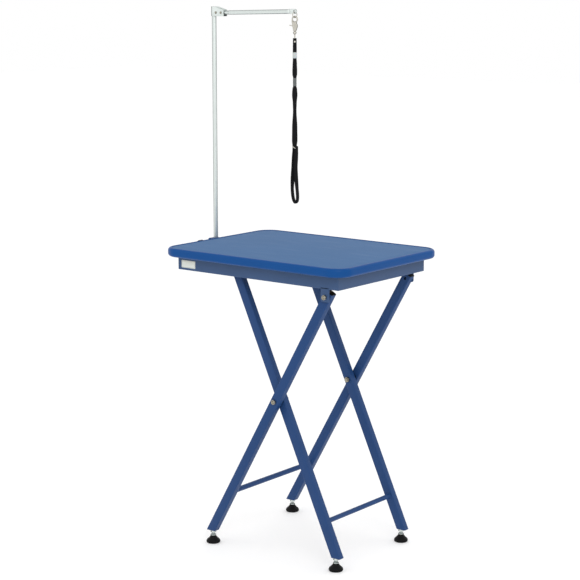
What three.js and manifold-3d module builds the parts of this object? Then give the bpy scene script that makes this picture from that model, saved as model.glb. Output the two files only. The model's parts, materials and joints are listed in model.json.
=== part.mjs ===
// Folding grooming table with a clamped post, a folding arm and a hanging noose.
// Millimetres, +Z up. X runs along the long side of the top and Y towards its back.
// The origin is on the floor, under the middle of the whole object's box.

import * as THREE from 'three';
import { mergeVertices } from 'three/addons/utils/BufferGeometryUtils.js';
import Module from 'manifold-3d';

const wasm = await Module();
wasm.setup();

// ---------- Driving dimensions ----------

const GAP = 0.3; // clearance between pieces that meet
const HOLE_PLAY = 0.2; // radial play of an M8 bolt in its hole
const M8 = 4; // radius of an M8 shank
const HEX_R = 7.5; // corner radius of a 13 mm hexagon
const ROUND = 16; // sides of a turned piece

// Tabletop: a board with a moulded edge and a mat set into it.
const TOP_LENGTH = 600;
const TOP_WIDTH = 450;
const TOP_CORNER = 50;
const TOP_UNDERSIDE = 782;
const RIM_HEIGHT = 22;
const RIM_ROUND = 7;
const RIM_LAND = 1; // flat strip between the mat and the rounded edge
const MAT_THICKNESS = 3;
const MAT_PROUD = 0.4;

// Apron: four mitred rails of rectangular tube under the board.
const APRON_LENGTH = 533;
const APRON_WIDTH = 380.4;
const APRON_HEIGHT = 36.4;
const RAIL_THICKNESS = 18;
const TUBE_WALL = 1.5;
const TAB_WIDTH = 26;
const TAB_THICKNESS = 3;
const TAB_DROP = 33; // how far a hinge tab hangs below the apron
const TAB_CORNER = 5;

// Legs: two crossed frames of rectangular tube.
const LEG_WIDTH = 25;
const LEG_DEPTH = 20;
const LEG_CORNER = 2;
const LEG_CUT = 35; // height of the horizontal cut at the foot
const FOOT_PLATE = 3;
const OUTER_LEG_Y = 174.3;
const INNER_LEG_Y = 148.6;
const PIVOT_X = 56;
const PIVOT_Z = 428.5;
const PIVOT_TO_TOP = 340.5; // from the middle pivot to the hinge and to the crossbar
const OUTER_LEAN = THREE.MathUtils.degToRad(29.5);
const INNER_LEAN = THREE.MathUtils.degToRad(-24.7);
const OUTER_OVERRUN = 12.5; // leg beyond its hinge
const INNER_OVERRUN = 8;
const PLUG_HEAD = 1.5;
const PLUG_LENGTH = 12;
const OUTER_STRETCHER_Z = 155;
const INNER_STRETCHER_Z = 123;
const OUTER_STRETCHER_R = 7;
const INNER_STRETCHER_R = 6.4;
const CROSSBAR_R = 8;

// Saddles that the crossbar bears against, under the board.
const SADDLE_Y = 112;
const SADDLE_WIDTH = 24;
const SADDLE_PLAY = 0.6;
const SADDLE_WALL = 9;

// Levelling feet.
const OUTER_FOOT_X = -165;
const INNER_FOOT_X = 232;
const PAD_R = 18.5;
const PAD_HEIGHT = 20;
const PAD_NECK_R = 7.6;
const STEM_TOP = 46;
const NUT_HEIGHT = 6.5;
const BOLT_HEAD = 5.3;

// Post, its clamp and the folding arm.
const POST_X = -318;
const POST_Y = 23.5;
const POST_R = 6;
const POST_WALL = 1.2;
const POST_BOTTOM = 741;
const POST_TOP = 1430;
const KNOB_R = 16.5;
const KNOB_Z = 787;
const KNOB_FRONT = -44;
const KNOB_BACK = -24;
const BRACKET_TOP = 1436.5;
const BRACKET_BOTTOM = 1410.5;
const BRACKET_REACH = 40;
const BRACKET_WALL = 1.5;
const ARM_PIVOT_REACH = 30;
const ARM_PIVOT_Z = 1420;
const ARM_R = 5.7;
const ARM_LENGTH = 249; // from the pivot to the hole at the end
const ARM_RISE = THREE.MathUtils.degToRad(1.2);
const ARM_HOLE_R = 3.5;
const RIVET_R = 2.5;

// What hangs from the arm.
const RING_R = 7.2;
const RING_WIRE = 1.1;
const RING_PLAY = 0.7; // between the ring and what it hangs in
const RING_TURN = THREE.MathUtils.degToRad(75);
const HOOK_TURN = THREE.MathUtils.degToRad(10);
const HOOK_LOOP_R = 9.2;
const HOOK_EYE_R = 6;
const BALL_R = 4.5;
const STRAP_R = 2.5;
const STRAP_FACE = THREE.MathUtils.degToRad(38); // direction of the strap's width
const STRAP_TOP = 1351;
const KEEPER_TOP = 1319;
const KEEPER_BOTTOM = 1303.5;
const SLIDER_TOP = 1252;
const SLIDER_BOTTOM = 1231;
const SLIP_RING_Z = 1070;
const SLIP_RING_R = 7;
const SLIP_RING_TILT = THREE.MathUtils.degToRad(35);

// ---------- Derived places ----------

const along = (lean, distance) => [
  PIVOT_X + distance * Math.sin(lean),
  PIVOT_Z + distance * Math.cos(lean),
];
const [HINGE_X, HINGE_Z] = along(OUTER_LEAN, PIVOT_TO_TOP);
const [BAR_X, BAR_Z] = along(INNER_LEAN, PIVOT_TO_TOP);
const legXAt = (lean, z) => PIVOT_X + (z - PIVOT_Z) * Math.tan(lean);
const ARM_PIVOT_X = POST_X + ARM_PIVOT_REACH;
const NOOSE_X = ARM_PIVOT_X + ARM_LENGTH * Math.cos(ARM_RISE);
const ARM_HOLE_Z = ARM_PIVOT_Z + ARM_LENGTH * Math.sin(ARM_RISE);
const RING_Z = ARM_HOLE_Z - ARM_HOLE_R + RING_WIRE + RING_PLAY - RING_R;
const HOOK_Z = RING_Z - RING_R + RING_WIRE + RING_PLAY - HOOK_EYE_R; // middle of the hook's loop
const HOOK_BOTTOM = HOOK_Z - 30;
const BALL_Z = HOOK_BOTTOM - BALL_R - 0.5;
const MAT_LENGTH = TOP_LENGTH - 2 * (RIM_ROUND + RIM_LAND);
const MAT_WIDTH = TOP_WIDTH - 2 * (RIM_ROUND + RIM_LAND);
const MAT_CORNER = TOP_CORNER - RIM_ROUND - RIM_LAND;
const APRON_BOTTOM = TOP_UNDERSIDE - APRON_HEIGHT;

// ---------- Materials ----------

const finish = (color, roughness, metalness) =>
  new THREE.MeshStandardMaterial({ color, roughness, metalness });
const mouldedBlue = finish(0x1d559e, 0.25, 0);
const matBlue = finish(0x5b7ca8, 0.85, 0);
const powderBlue = finish(0x3f5a94, 0.45, 0.1);
const chipboard = finish(0xb59a70, 0.9, 0);
const zinc = finish(0xb4b4a8, 0.4, 0.9);
const chrome = finish(0xd4dbdb, 0.22, 1);
const nickel = finish(0xcfc9b8, 0.3, 1);
const blackPlastic = finish(0x1a1a1c, 0.5, 0);
const webbing = finish(0x111113, 0.85, 0);
const clearPlastic = finish(0xdedede, 0.4, 0);
const greyPlastic = finish(0x7d8182, 0.5, 0);
const labelWhite = finish(0xe9ebe6, 0.5, 0);

// ---------- Geometry helpers ----------

// A closed geometry as a solid, ready to be cut or joined.
function solid(geometry) {
  const bare = new THREE.BufferGeometry();
  bare.setAttribute('position', geometry.getAttribute('position'));
  bare.setIndex(geometry.getIndex());
  const merged = mergeVertices(bare, 1e-4);
  const corners = merged.getIndex().array;
  const kept = [];
  for (let i = 0; i < corners.length; i += 3) {
    const [a, b, c] = corners.slice(i, i + 3);
    if (a !== b && b !== c && c !== a) kept.push(a, b, c);
  }
  return new wasm.Manifold(new wasm.Mesh({
    numProp: 3,
    vertProperties: new Float32Array(merged.getAttribute('position').array),
    triVerts: new Uint32Array(kept),
  }));
}

function geometryOf(shape) {
  const mesh = shape.getMesh();
  const geometry = new THREE.BufferGeometry();
  geometry.setAttribute('position', new THREE.BufferAttribute(mesh.vertProperties, 3));
  geometry.setIndex(new THREE.BufferAttribute(mesh.triVerts, 1));
  geometry.computeVertexNormals();
  return geometry;
}

function roundedRect(length, width, radius) {
  const [x, y] = [length / 2, width / 2];
  const shape = new THREE.Shape();
  shape.absarc(x - radius, y - radius, radius, 0, Math.PI / 2);
  shape.absarc(radius - x, y - radius, radius, Math.PI / 2, Math.PI);
  shape.absarc(radius - x, radius - y, radius, Math.PI, 1.5 * Math.PI);
  shape.absarc(x - radius, radius - y, radius, 1.5 * Math.PI, 2 * Math.PI);
  shape.closePath();
  return shape;
}

const outline = (points) => new THREE.Shape(points.map(([x, y]) => new THREE.Vector2(x, y)));

// A straight-sided solid of a plan outline, from z0 up to z1.
function upright(shape, z0, z1, curveSegments = 8) {
  const settings = { depth: z1 - z0, bevelEnabled: false, curveSegments };
  return new THREE.ExtrudeGeometry(shape, settings).translate(0, 0, z0);
}

// A solid whose outline is drawn in X and Z, from y0 back to y1.
function across(shape, y0, y1, curveSegments = 8) {
  const settings = { depth: y1 - y0, bevelEnabled: false, curveSegments };
  return new THREE.ExtrudeGeometry(shape, settings).rotateX(Math.PI / 2).translate(0, y1, 0);
}

function block(x0, x1, y0, y1, z0, z1) {
  const box = new THREE.BoxGeometry(x1 - x0, y1 - y0, z1 - z0);
  return box.translate((x0 + x1) / 2, (y0 + y1) / 2, (z0 + z1) / 2);
}

const rodY = (x, z, y0, y1, radius, sides = ROUND) =>
  new THREE.CylinderGeometry(radius, radius, y1 - y0, sides).translate(x, (y0 + y1) / 2, z);

const rodZ = (x, y, z0, z1, radius, sides = ROUND) =>
  new THREE.CylinderGeometry(radius, radius, z1 - z0, sides)
    .rotateX(Math.PI / 2).translate(x, y, (z0 + z1) / 2);

// A turned solid about a vertical line; the profile is [radius, height] pairs.
const turned = (profile, x, y, sides = ROUND) =>
  new THREE.LatheGeometry(profile.map(([r, z]) => new THREE.Vector2(r, z)), sides)
    .rotateX(Math.PI / 2).translate(x, y, 0);

// Between the front (-1) and the rear (1): a stretch of Y, given by distances from the middle.
const span = (side, from, to) => (side < 0 ? [-to, -from] : [from, to]);

// ---------- Assembly ----------

const object = new THREE.Group();
const table = new THREE.Group();
table.position.x = (KNOB_R - POST_X - TOP_LENGTH / 2) / 2;
object.add(table);

function place(name, shape, material) {
  const geometry = shape.isBufferGeometry ? shape : geometryOf(shape);
  const mesh = new THREE.Mesh(geometry, material);
  mesh.name = name;
  table.add(mesh);
}

// ---------- Tabletop ----------

function makeTabletop() {
  const matTop = TOP_UNDERSIDE + RIM_HEIGHT + MAT_PROUD;
  const matBottom = matTop - MAT_THICKNESS;
  const inset = roundedRect(MAT_LENGTH - 2 * GAP, MAT_WIDTH - 2 * GAP, MAT_CORNER - GAP);
  place('board', upright(inset, TOP_UNDERSIDE, matBottom), chipboard);
  place('top_mat', upright(inset, matBottom, matTop), matBlue);

  const slab = new THREE.ExtrudeGeometry(
    roundedRect(TOP_LENGTH - 2 * RIM_ROUND, TOP_WIDTH - 2 * RIM_ROUND, TOP_CORNER - RIM_ROUND),
    {
      depth: RIM_HEIGHT - 2 * RIM_ROUND,
      bevelThickness: RIM_ROUND,
      bevelSize: RIM_ROUND,
      bevelSegments: 4,
      curveSegments: 6,
    },
  ).translate(0, 0, TOP_UNDERSIDE + RIM_ROUND);
  const pocket = upright(
    roundedRect(MAT_LENGTH, MAT_WIDTH, MAT_CORNER),
    TOP_UNDERSIDE - 1,
    TOP_UNDERSIDE + RIM_HEIGHT + 1,
  );
  place('edge_rim', solid(slab).subtract(solid(pocket)), mouldedBlue);
}

// ---------- Apron ----------

// One rail of the given length, drawn along X with its outer face at -Y, before it is turned.
function rail(length, distance) {
  const corner = length / 2;
  const plan = outline([
    [GAP - corner, -distance],
    [corner - GAP, -distance],
    [corner - GAP - RAIL_THICKNESS, RAIL_THICKNESS - distance],
    [RAIL_THICKNESS + GAP - corner, RAIL_THICKNESS - distance],
  ]);
  const hollow = block(
    -length,
    length,
    TUBE_WALL - distance,
    RAIL_THICKNESS - TUBE_WALL - distance,
    APRON_BOTTOM + TUBE_WALL,
    TOP_UNDERSIDE - TUBE_WALL,
  );
  return solid(upright(plan, APRON_BOTTOM, TOP_UNDERSIDE)).subtract(solid(hollow));
}

// The plate that hangs from a long rail and carries the hinge bolt.
function hingeTab(side) {
  const low = APRON_BOTTOM - TAB_DROP;
  const [left, right] = [HINGE_X - TAB_WIDTH / 2, HINGE_X + TAB_WIDTH / 2];
  const plate = new THREE.Shape();
  plate.moveTo(left, APRON_BOTTOM + TAB_CORNER);
  plate.absarc(left + TAB_CORNER, low + TAB_CORNER, TAB_CORNER, Math.PI, 1.5 * Math.PI);
  plate.absarc(right - TAB_CORNER, low + TAB_CORNER, TAB_CORNER, 1.5 * Math.PI, 2 * Math.PI);
  plate.lineTo(right, APRON_BOTTOM + TAB_CORNER);
  plate.closePath();
  const [y0, y1] = span(side, APRON_WIDTH / 2 - TAB_THICKNESS, APRON_WIDTH / 2);
  const hole = rodY(HINGE_X, HINGE_Z, y0 - 1, y1 + 1, M8 + HOLE_PLAY);
  return solid(across(plate, y0, y1, 4)).subtract(solid(hole));
}

function makeApron() {
  for (const [name, side] of [['front', -1], ['rear', 1]]) {
    const straight = rail(APRON_LENGTH, APRON_WIDTH / 2);
    const turnedRail = side < 0 ? straight : straight.rotate([0, 0, 180]);
    place(`${name}_rail`, turnedRail.add(hingeTab(side)), powderBlue);
  }
  for (const [name, angle] of [['left', -90], ['right', 90]]) {
    place(`${name}_rail`, rail(APRON_WIDTH, APRON_LENGTH / 2).rotate([0, 0, angle]), powderBlue);
  }
}

// ---------- Crossbar saddles ----------

// The crossbar bears up and to the left into each saddle. It leaves to the right or downwards.
function makeSaddles() {
  const reach = CROSSBAR_R + SADDLE_PLAY;
  const wallBottom = BAR_Z - 6;
  const flange = TOP_UNDERSIDE - 3;
  const arcEnd = THREE.MathUtils.degToRad(112);
  const profile = new THREE.Shape();
  profile.moveTo(BAR_X - 36, TOP_UNDERSIDE);
  profile.lineTo(BAR_X - 36, flange);
  profile.lineTo(BAR_X - reach - SADDLE_WALL, flange);
  profile.lineTo(BAR_X - reach - SADDLE_WALL, wallBottom);
  profile.lineTo(BAR_X - reach, wallBottom);
  profile.absarc(BAR_X, BAR_Z, reach, Math.PI, arcEnd, true);
  profile.lineTo(BAR_X + reach * Math.cos(arcEnd), flange);
  profile.lineTo(BAR_X + 20, flange);
  profile.lineTo(BAR_X + 20, TOP_UNDERSIDE);
  profile.closePath();
  for (const [name, side] of [['front', -1], ['rear', 1]]) {
    const [y0, y1] = span(side, SADDLE_Y - SADDLE_WIDTH / 2, SADDLE_Y + SADDLE_WIDTH / 2);
    place(`${name}_bar_saddle`, across(profile, y0, y1), powderBlue);
  }
}

// ---------- Label ----------

function makeLabel() {
  const face = -APRON_WIDTH / 2;
  const plate = roundedRect(48, 20, 1.5);
  place('label_plate', across(plate, face - 0.5, face, 3).translate(-230.5, 0, 762), labelWhite);
}

// ---------- Legs ----------

function legBar(lean, top, y, shrink) {
  const section = roundedRect(
    LEG_WIDTH - 2 * shrink,
    LEG_DEPTH - 2 * shrink,
    LEG_CORNER - shrink / 2,
  );
  return solid(upright(section, -2 * PIVOT_TO_TOP, top, 2)
    .rotateY(lean).translate(PIVOT_X, y, PIVOT_Z));
}

function leg(lean, overrun, y, footX) {
  const top = PIVOT_TO_TOP + overrun;
  const aboveCut = solid(block(-TOP_LENGTH, TOP_LENGTH, y - LEG_DEPTH, y + LEG_DEPTH, LEG_CUT, 900));
  const outside = legBar(lean, top, y, 0).intersect(aboveCut);
  const plateZone = solid(
    block(-TOP_LENGTH, TOP_LENGTH, y - LEG_DEPTH, y + LEG_DEPTH, 0, LEG_CUT + FOOT_PLATE),
  );
  const through = [y - LEG_DEPTH, y + LEG_DEPTH];
  return outside
    .subtract(legBar(lean, top + 1, y, TUBE_WALL))
    .add(outside.intersect(plateZone))
    .subtract(solid(rodY(PIVOT_X, PIVOT_Z, ...through, M8 + HOLE_PLAY)))
    .subtract(solid(rodZ(footX, y, 0, LEG_CUT + 2 * FOOT_PLATE, M8 + HOLE_PLAY)));
}

function makeLegs() {
  for (const [name, side] of [['front', -1], ['rear', 1]]) {
    const outerFace = OUTER_LEG_Y + LEG_DEPTH / 2;
    const boltHole = rodY(
      HINGE_X, HINGE_Z, ...span(side, OUTER_LEG_Y, outerFace + 1), M8 + HOLE_PLAY);
    const accessHole = rodY(
      HINGE_X, HINGE_Z, ...span(side, OUTER_LEG_Y - LEG_DEPTH, OUTER_LEG_Y), M8 + HOLE_PLAY);
    const outer = leg(OUTER_LEAN, OUTER_OVERRUN, side * OUTER_LEG_Y, OUTER_FOOT_X)
      .subtract(solid(boltHole))
      .subtract(solid(accessHole));
    place(`${name}_outer_leg`, outer, powderBlue);
    place(
      `${name}_inner_leg`,
      leg(INNER_LEAN, INNER_OVERRUN, side * INNER_LEG_Y, INNER_FOOT_X),
      powderBlue,
    );

    const top = PIVOT_TO_TOP + OUTER_OVERRUN;
    const head = upright(
      roundedRect(LEG_WIDTH, LEG_DEPTH, LEG_CORNER), top + GAP, top + GAP + PLUG_HEAD, 3);
    const core = roundedRect(
      LEG_WIDTH - 2 * TUBE_WALL - 2 * GAP, LEG_DEPTH - 2 * TUBE_WALL - 2 * GAP, 1);
    const stub = solid(upright(core, top - PLUG_LENGTH + 8, top + GAP + 1, 3));
    const plug = geometryOf(solid(head).add(stub))
      .rotateY(OUTER_LEAN).translate(PIVOT_X, side * OUTER_LEG_Y, PIVOT_Z);
    place(`${name}_leg_plug`, plug, blackPlastic);
  }
  const outerReach = OUTER_LEG_Y - LEG_DEPTH / 2 - GAP;
  const innerReach = INNER_LEG_Y - LEG_DEPTH / 2 - GAP;
  const outerX = legXAt(OUTER_LEAN, OUTER_STRETCHER_Z);
  const innerX = legXAt(INNER_LEAN, INNER_STRETCHER_Z);
  place(
    'outer_stretcher',
    rodY(outerX, OUTER_STRETCHER_Z, -outerReach, outerReach, OUTER_STRETCHER_R),
    powderBlue,
  );
  place(
    'inner_stretcher',
    rodY(innerX, INNER_STRETCHER_Z, -innerReach, innerReach, INNER_STRETCHER_R),
    powderBlue,
  );
  place('crossbar', rodY(BAR_X, BAR_Z, -innerReach, innerReach, CROSSBAR_R), powderBlue);
}

// ---------- Pivot and hinge fasteners ----------

const hexY = (x, z, y0, y1) => rodY(x, z, y0, y1, HEX_R, 6);

function ringY(x, z, y0, y1, radius) {
  const hole = solid(rodY(x, z, y0 - 1, y1 + 1, M8 + HOLE_PLAY));
  return solid(rodY(x, z, y0, y1, radius)).subtract(hole);
}

function hexNutY(x, z, y0, y1) {
  const hole = solid(rodY(x, z, y0 - 1, y1 + 1, M8 + HOLE_PLAY));
  return solid(hexY(x, z, y0, y1)).subtract(hole);
}

function makeFasteners() {
  for (const [name, side] of [['front', -1], ['rear', 1]]) {
    const outerFace = OUTER_LEG_Y + LEG_DEPTH / 2;
    const outerInside = OUTER_LEG_Y - LEG_DEPTH / 2;
    const innerOutside = INNER_LEG_Y + LEG_DEPTH / 2;
    const innerFace = INNER_LEG_Y - LEG_DEPTH / 2;

    const pivotHead = hexY(
      PIVOT_X, PIVOT_Z, ...span(side, outerFace + GAP, outerFace + GAP + BOLT_HEAD));
    const pivotShank = rodY(
      PIVOT_X, PIVOT_Z, ...span(side, innerFace - NUT_HEIGHT - 3, outerFace + 1), M8);
    place(`${name}_pivot_bolt`, solid(pivotHead).add(solid(pivotShank)), zinc);
    place(
      `${name}_pivot_nut`,
      hexNutY(PIVOT_X, PIVOT_Z, ...span(side, innerFace - GAP - NUT_HEIGHT, innerFace - GAP)),
      zinc,
    );
    place(
      `${name}_pivot_spacer`,
      ringY(PIVOT_X, PIVOT_Z, ...span(side, innerOutside + GAP, outerInside - GAP), 10),
      blackPlastic,
    );

    // The hinge bolt has a shoulder that keeps the tab off the leg.
    const tabFace = APRON_WIDTH / 2;
    const tabInside = tabFace - TAB_THICKNESS;
    const wallInside = outerFace - TUBE_WALL;
    const hingeHead = hexY(
      HINGE_X, HINGE_Z, ...span(side, tabFace + GAP, tabFace + GAP + BOLT_HEAD));
    const hingeShank = rodY(
      HINGE_X, HINGE_Z, ...span(side, wallInside - NUT_HEIGHT - 2, tabFace + 1), M8);
    const shoulder = rodY(
      HINGE_X, HINGE_Z, ...span(side, outerFace + GAP, tabInside - GAP), 9);
    place(
      `${name}_hinge_bolt`,
      solid(hingeHead).add(solid(hingeShank)).add(solid(shoulder)),
      zinc,
    );
    place(
      `${name}_hinge_nut`,
      hexNutY(HINGE_X, HINGE_Z, ...span(side, wallInside - GAP - NUT_HEIGHT, wallInside - GAP)),
      zinc,
    );
  }
}

// ---------- Levelling feet ----------

function makeFoot(name, x, y) {
  const seat = 8;
  const pad = [
    [0, 0], [PAD_R - 1.5, 0], [PAD_R - 0.3, 1.2], [PAD_R, 3], [PAD_R - 0.5, 5],
    [PAD_NECK_R + 2.4, 13], [PAD_NECK_R, 16.5], [PAD_NECK_R, PAD_HEIGHT],
    [5.3, PAD_HEIGHT], [5.3, seat], [0, seat],
  ];
  place(`${name}_foot_pad`, turned(pad, x, y), blackPlastic);
  const stem = [
    [0, seat + GAP], [5, seat + GAP], [5, seat + 4], [M8, seat + 4], [M8, PAD_HEIGHT + GAP],
    [7.4, PAD_HEIGHT + GAP], [7.4, PAD_HEIGHT + 3], [M8, PAD_HEIGHT + 3],
    [M8, STEM_TOP - 0.8], [M8 - 0.8, STEM_TOP], [0, STEM_TOP],
  ];
  place(`${name}_foot_stem`, turned(stem, x, y, 12), zinc);
  const nutTop = LEG_CUT - GAP;
  const nut = solid(rodZ(x, y, nutTop - NUT_HEIGHT, nutTop, HEX_R, 6))
    .subtract(solid(rodZ(x, y, nutTop - NUT_HEIGHT - 1, nutTop + 1, M8 + HOLE_PLAY)));
  place(`${name}_foot_nut`, nut, zinc);
}

function makeFeet() {
  for (const [name, side] of [['front', -1], ['rear', 1]]) {
    makeFoot(`${name}_outer`, OUTER_FOOT_X, side * OUTER_LEG_Y);
    makeFoot(`${name}_inner`, INNER_FOOT_X, side * INNER_LEG_Y);
  }
}

// ---------- Post and clamp ----------

function makePost() {
  const bore = POST_R + GAP;
  const blockFront = 1;
  const blockBack = POST_Y + 8.5;
  const blockTop = 802;
  const [blockLeft, blockRight] = [POST_X - 9, POST_X + 9];
  const railFace = -APRON_LENGTH / 2;
  const clampBlock = solid(
    block(blockLeft, blockRight, blockFront, blockBack, APRON_BOTTOM, blockTop));
  const web = solid(block(blockRight - 1, railFace - 1, 10, 28, 752, 776));
  const flange = solid(block(railFace - 3, railFace, -14, 52, 750, 778));
  const clampBracket = clampBlock.add(web).add(flange)
    .subtract(solid(rodZ(POST_X, POST_Y, APRON_BOTTOM - 1, blockTop + 1, bore)))
    .subtract(solid(rodY(POST_X, KNOB_Z, blockFront - 1, POST_Y, M8 + HOLE_PLAY)));
  place('post_bracket', clampBracket, powderBlue);

  const tube = [
    [POST_R - POST_WALL, POST_BOTTOM], [POST_R, POST_BOTTOM], [POST_R, POST_TOP],
    [POST_R - POST_WALL, POST_TOP], [POST_R - POST_WALL, POST_BOTTOM],
  ];
  place('post', turned(tube, POST_X, POST_Y), chrome);
  const plugR = POST_R - POST_WALL - GAP;
  const cap = [
    [0, POST_BOTTOM - 3], [POST_R - 1, POST_BOTTOM - 3], [POST_R, POST_BOTTOM - 2],
    [POST_R, POST_BOTTOM - GAP], [plugR, POST_BOTTOM - GAP], [plugR, POST_BOTTOM + 10],
    [0, POST_BOTTOM + 10],
  ];
  place('post_cap', turned(cap, POST_X, POST_Y), blackPlastic);

  const lobes = 6;
  const steps = 8 * lobes;
  const knobOutline = [];
  for (let i = 0; i < steps; i += 1) {
    const turn = (2 * Math.PI * i) / steps;
    const radius = KNOB_R - 1.3 + 1.3 * Math.cos(lobes * turn);
    knobOutline.push([radius * Math.cos(turn), radius * Math.sin(turn)]);
  }
  const grip = across(outline(knobOutline), KNOB_FRONT, KNOB_BACK - 5)
    .translate(POST_X, 0, KNOB_Z);
  const hub = rodY(POST_X, KNOB_Z, KNOB_BACK - 6, KNOB_BACK, 9);
  const socket = rodY(POST_X, KNOB_Z, KNOB_BACK - 10, KNOB_BACK + 1, M8 + HOLE_PLAY);
  const knob = solid(grip).add(solid(hub)).subtract(solid(socket));
  place('clamp_knob', knob, blackPlastic);
  place(
    'clamp_screw',
    rodY(POST_X, KNOB_Z, KNOB_BACK - 10 + GAP, POST_Y - POST_R - GAP, M8, 16),
    zinc,
  );
}

// ---------- Folding arm ----------

function makeArm() {
  const inside = POST_R + GAP;
  const outside = inside + BRACKET_WALL;
  const channel = (radius, reach) => {
    const plan = new THREE.Shape();
    plan.absarc(0, 0, radius, Math.PI / 2, 1.5 * Math.PI);
    plan.lineTo(reach, -radius);
    plan.lineTo(reach, radius);
    plan.closePath();
    return plan;
  };
  const shell = solid(upright(channel(outside, BRACKET_REACH), BRACKET_BOTTOM, BRACKET_TOP))
    .subtract(solid(upright(
      channel(inside, BRACKET_REACH + 1), BRACKET_BOTTOM - 1, BRACKET_TOP + 1)));
  const slope = across(
    outline([[8, BRACKET_TOP], [BRACKET_REACH + 1, BRACKET_TOP - 9],
      [BRACKET_REACH + 1, BRACKET_TOP + 5], [8, BRACKET_TOP + 5]]),
    -outside - 1,
    outside + 1,
  );
  const backRivetReach = 12.5;
  const rivetHole = (reach) =>
    solid(rodY(reach, ARM_PIVOT_Z, -outside - 1, outside + 1, RIVET_R + HOLE_PLAY));
  const bracket = shell.subtract(solid(slope))
    .subtract(rivetHole(ARM_PIVOT_REACH))
    .subtract(rivetHole(backRivetReach));
  place('arm_bracket', geometryOf(bracket).translate(POST_X, POST_Y, 0), zinc);

  for (const [name, reach] of [['bracket_rivet', backRivetReach], ['arm_rivet', ARM_PIVOT_REACH]]) {
    const headStart = outside + GAP;
    const headEnd = headStart + 1.6;
    const rivet = solid(rodY(0, ARM_PIVOT_Z, -headEnd, headEnd, RIVET_R, 16))
      .add(solid(rodY(0, ARM_PIVOT_Z, headStart, headEnd, 4, 16)))
      .add(solid(rodY(0, ARM_PIVOT_Z, -headEnd, -headStart, 4, 16)));
    place(name, geometryOf(rivet).translate(POST_X + reach, POST_Y, 0), zinc);
  }
  const stopR = 1.9;
  place(
    'arm_stop',
    rodY(POST_X + BRACKET_REACH - 2.1, BRACKET_BOTTOM + stopR,
      POST_Y - inside + GAP, POST_Y + inside - GAP, stopR, 12),
    blackPlastic,
  );

  // The arm, drawn level from its pivot at the origin: a tube with a flattened, drilled end.
  const rodX = (x0, x1, radius) =>
    new THREE.CylinderGeometry(radius, radius, x1 - x0, ROUND)
      .rotateZ(Math.PI / 2).translate((x0 + x1) / 2, 0, 0);
  const tail = -7;
  const flatStart = ARM_LENGTH - 20;
  const flatHalf = ARM_R + 0.6;
  const tongue = new THREE.Shape();
  tongue.moveTo(flatStart - 6, flatHalf);
  tongue.lineTo(flatStart - 6, -flatHalf);
  tongue.absarc(ARM_LENGTH, 0, flatHalf, -Math.PI / 2, Math.PI / 2);
  tongue.closePath();
  const arm = solid(rodX(tail, flatStart, ARM_R))
    .add(solid(across(tongue, -2, 2)))
    .subtract(solid(rodX(tail - 1, flatStart - 8, ARM_R - POST_WALL)))
    .subtract(solid(rodY(0, 0, -ARM_R - 1, ARM_R + 1, RIVET_R + HOLE_PLAY)))
    .subtract(solid(rodY(ARM_LENGTH, 0, -5, 5, ARM_HOLE_R)));
  place(
    'arm',
    geometryOf(arm).rotateY(-ARM_RISE).translate(ARM_PIVOT_X, POST_Y, ARM_PIVOT_Z),
    chrome,
  );
}

// ---------- Ring, snap hook and swivel ----------

// A ring of wire that stands upright, turned about the vertical.
function wireRing(radius, wire, turn) {
  return new THREE.TorusGeometry(radius, wire, 6, 20).rotateX(Math.PI / 2).rotateZ(turn);
}

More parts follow.
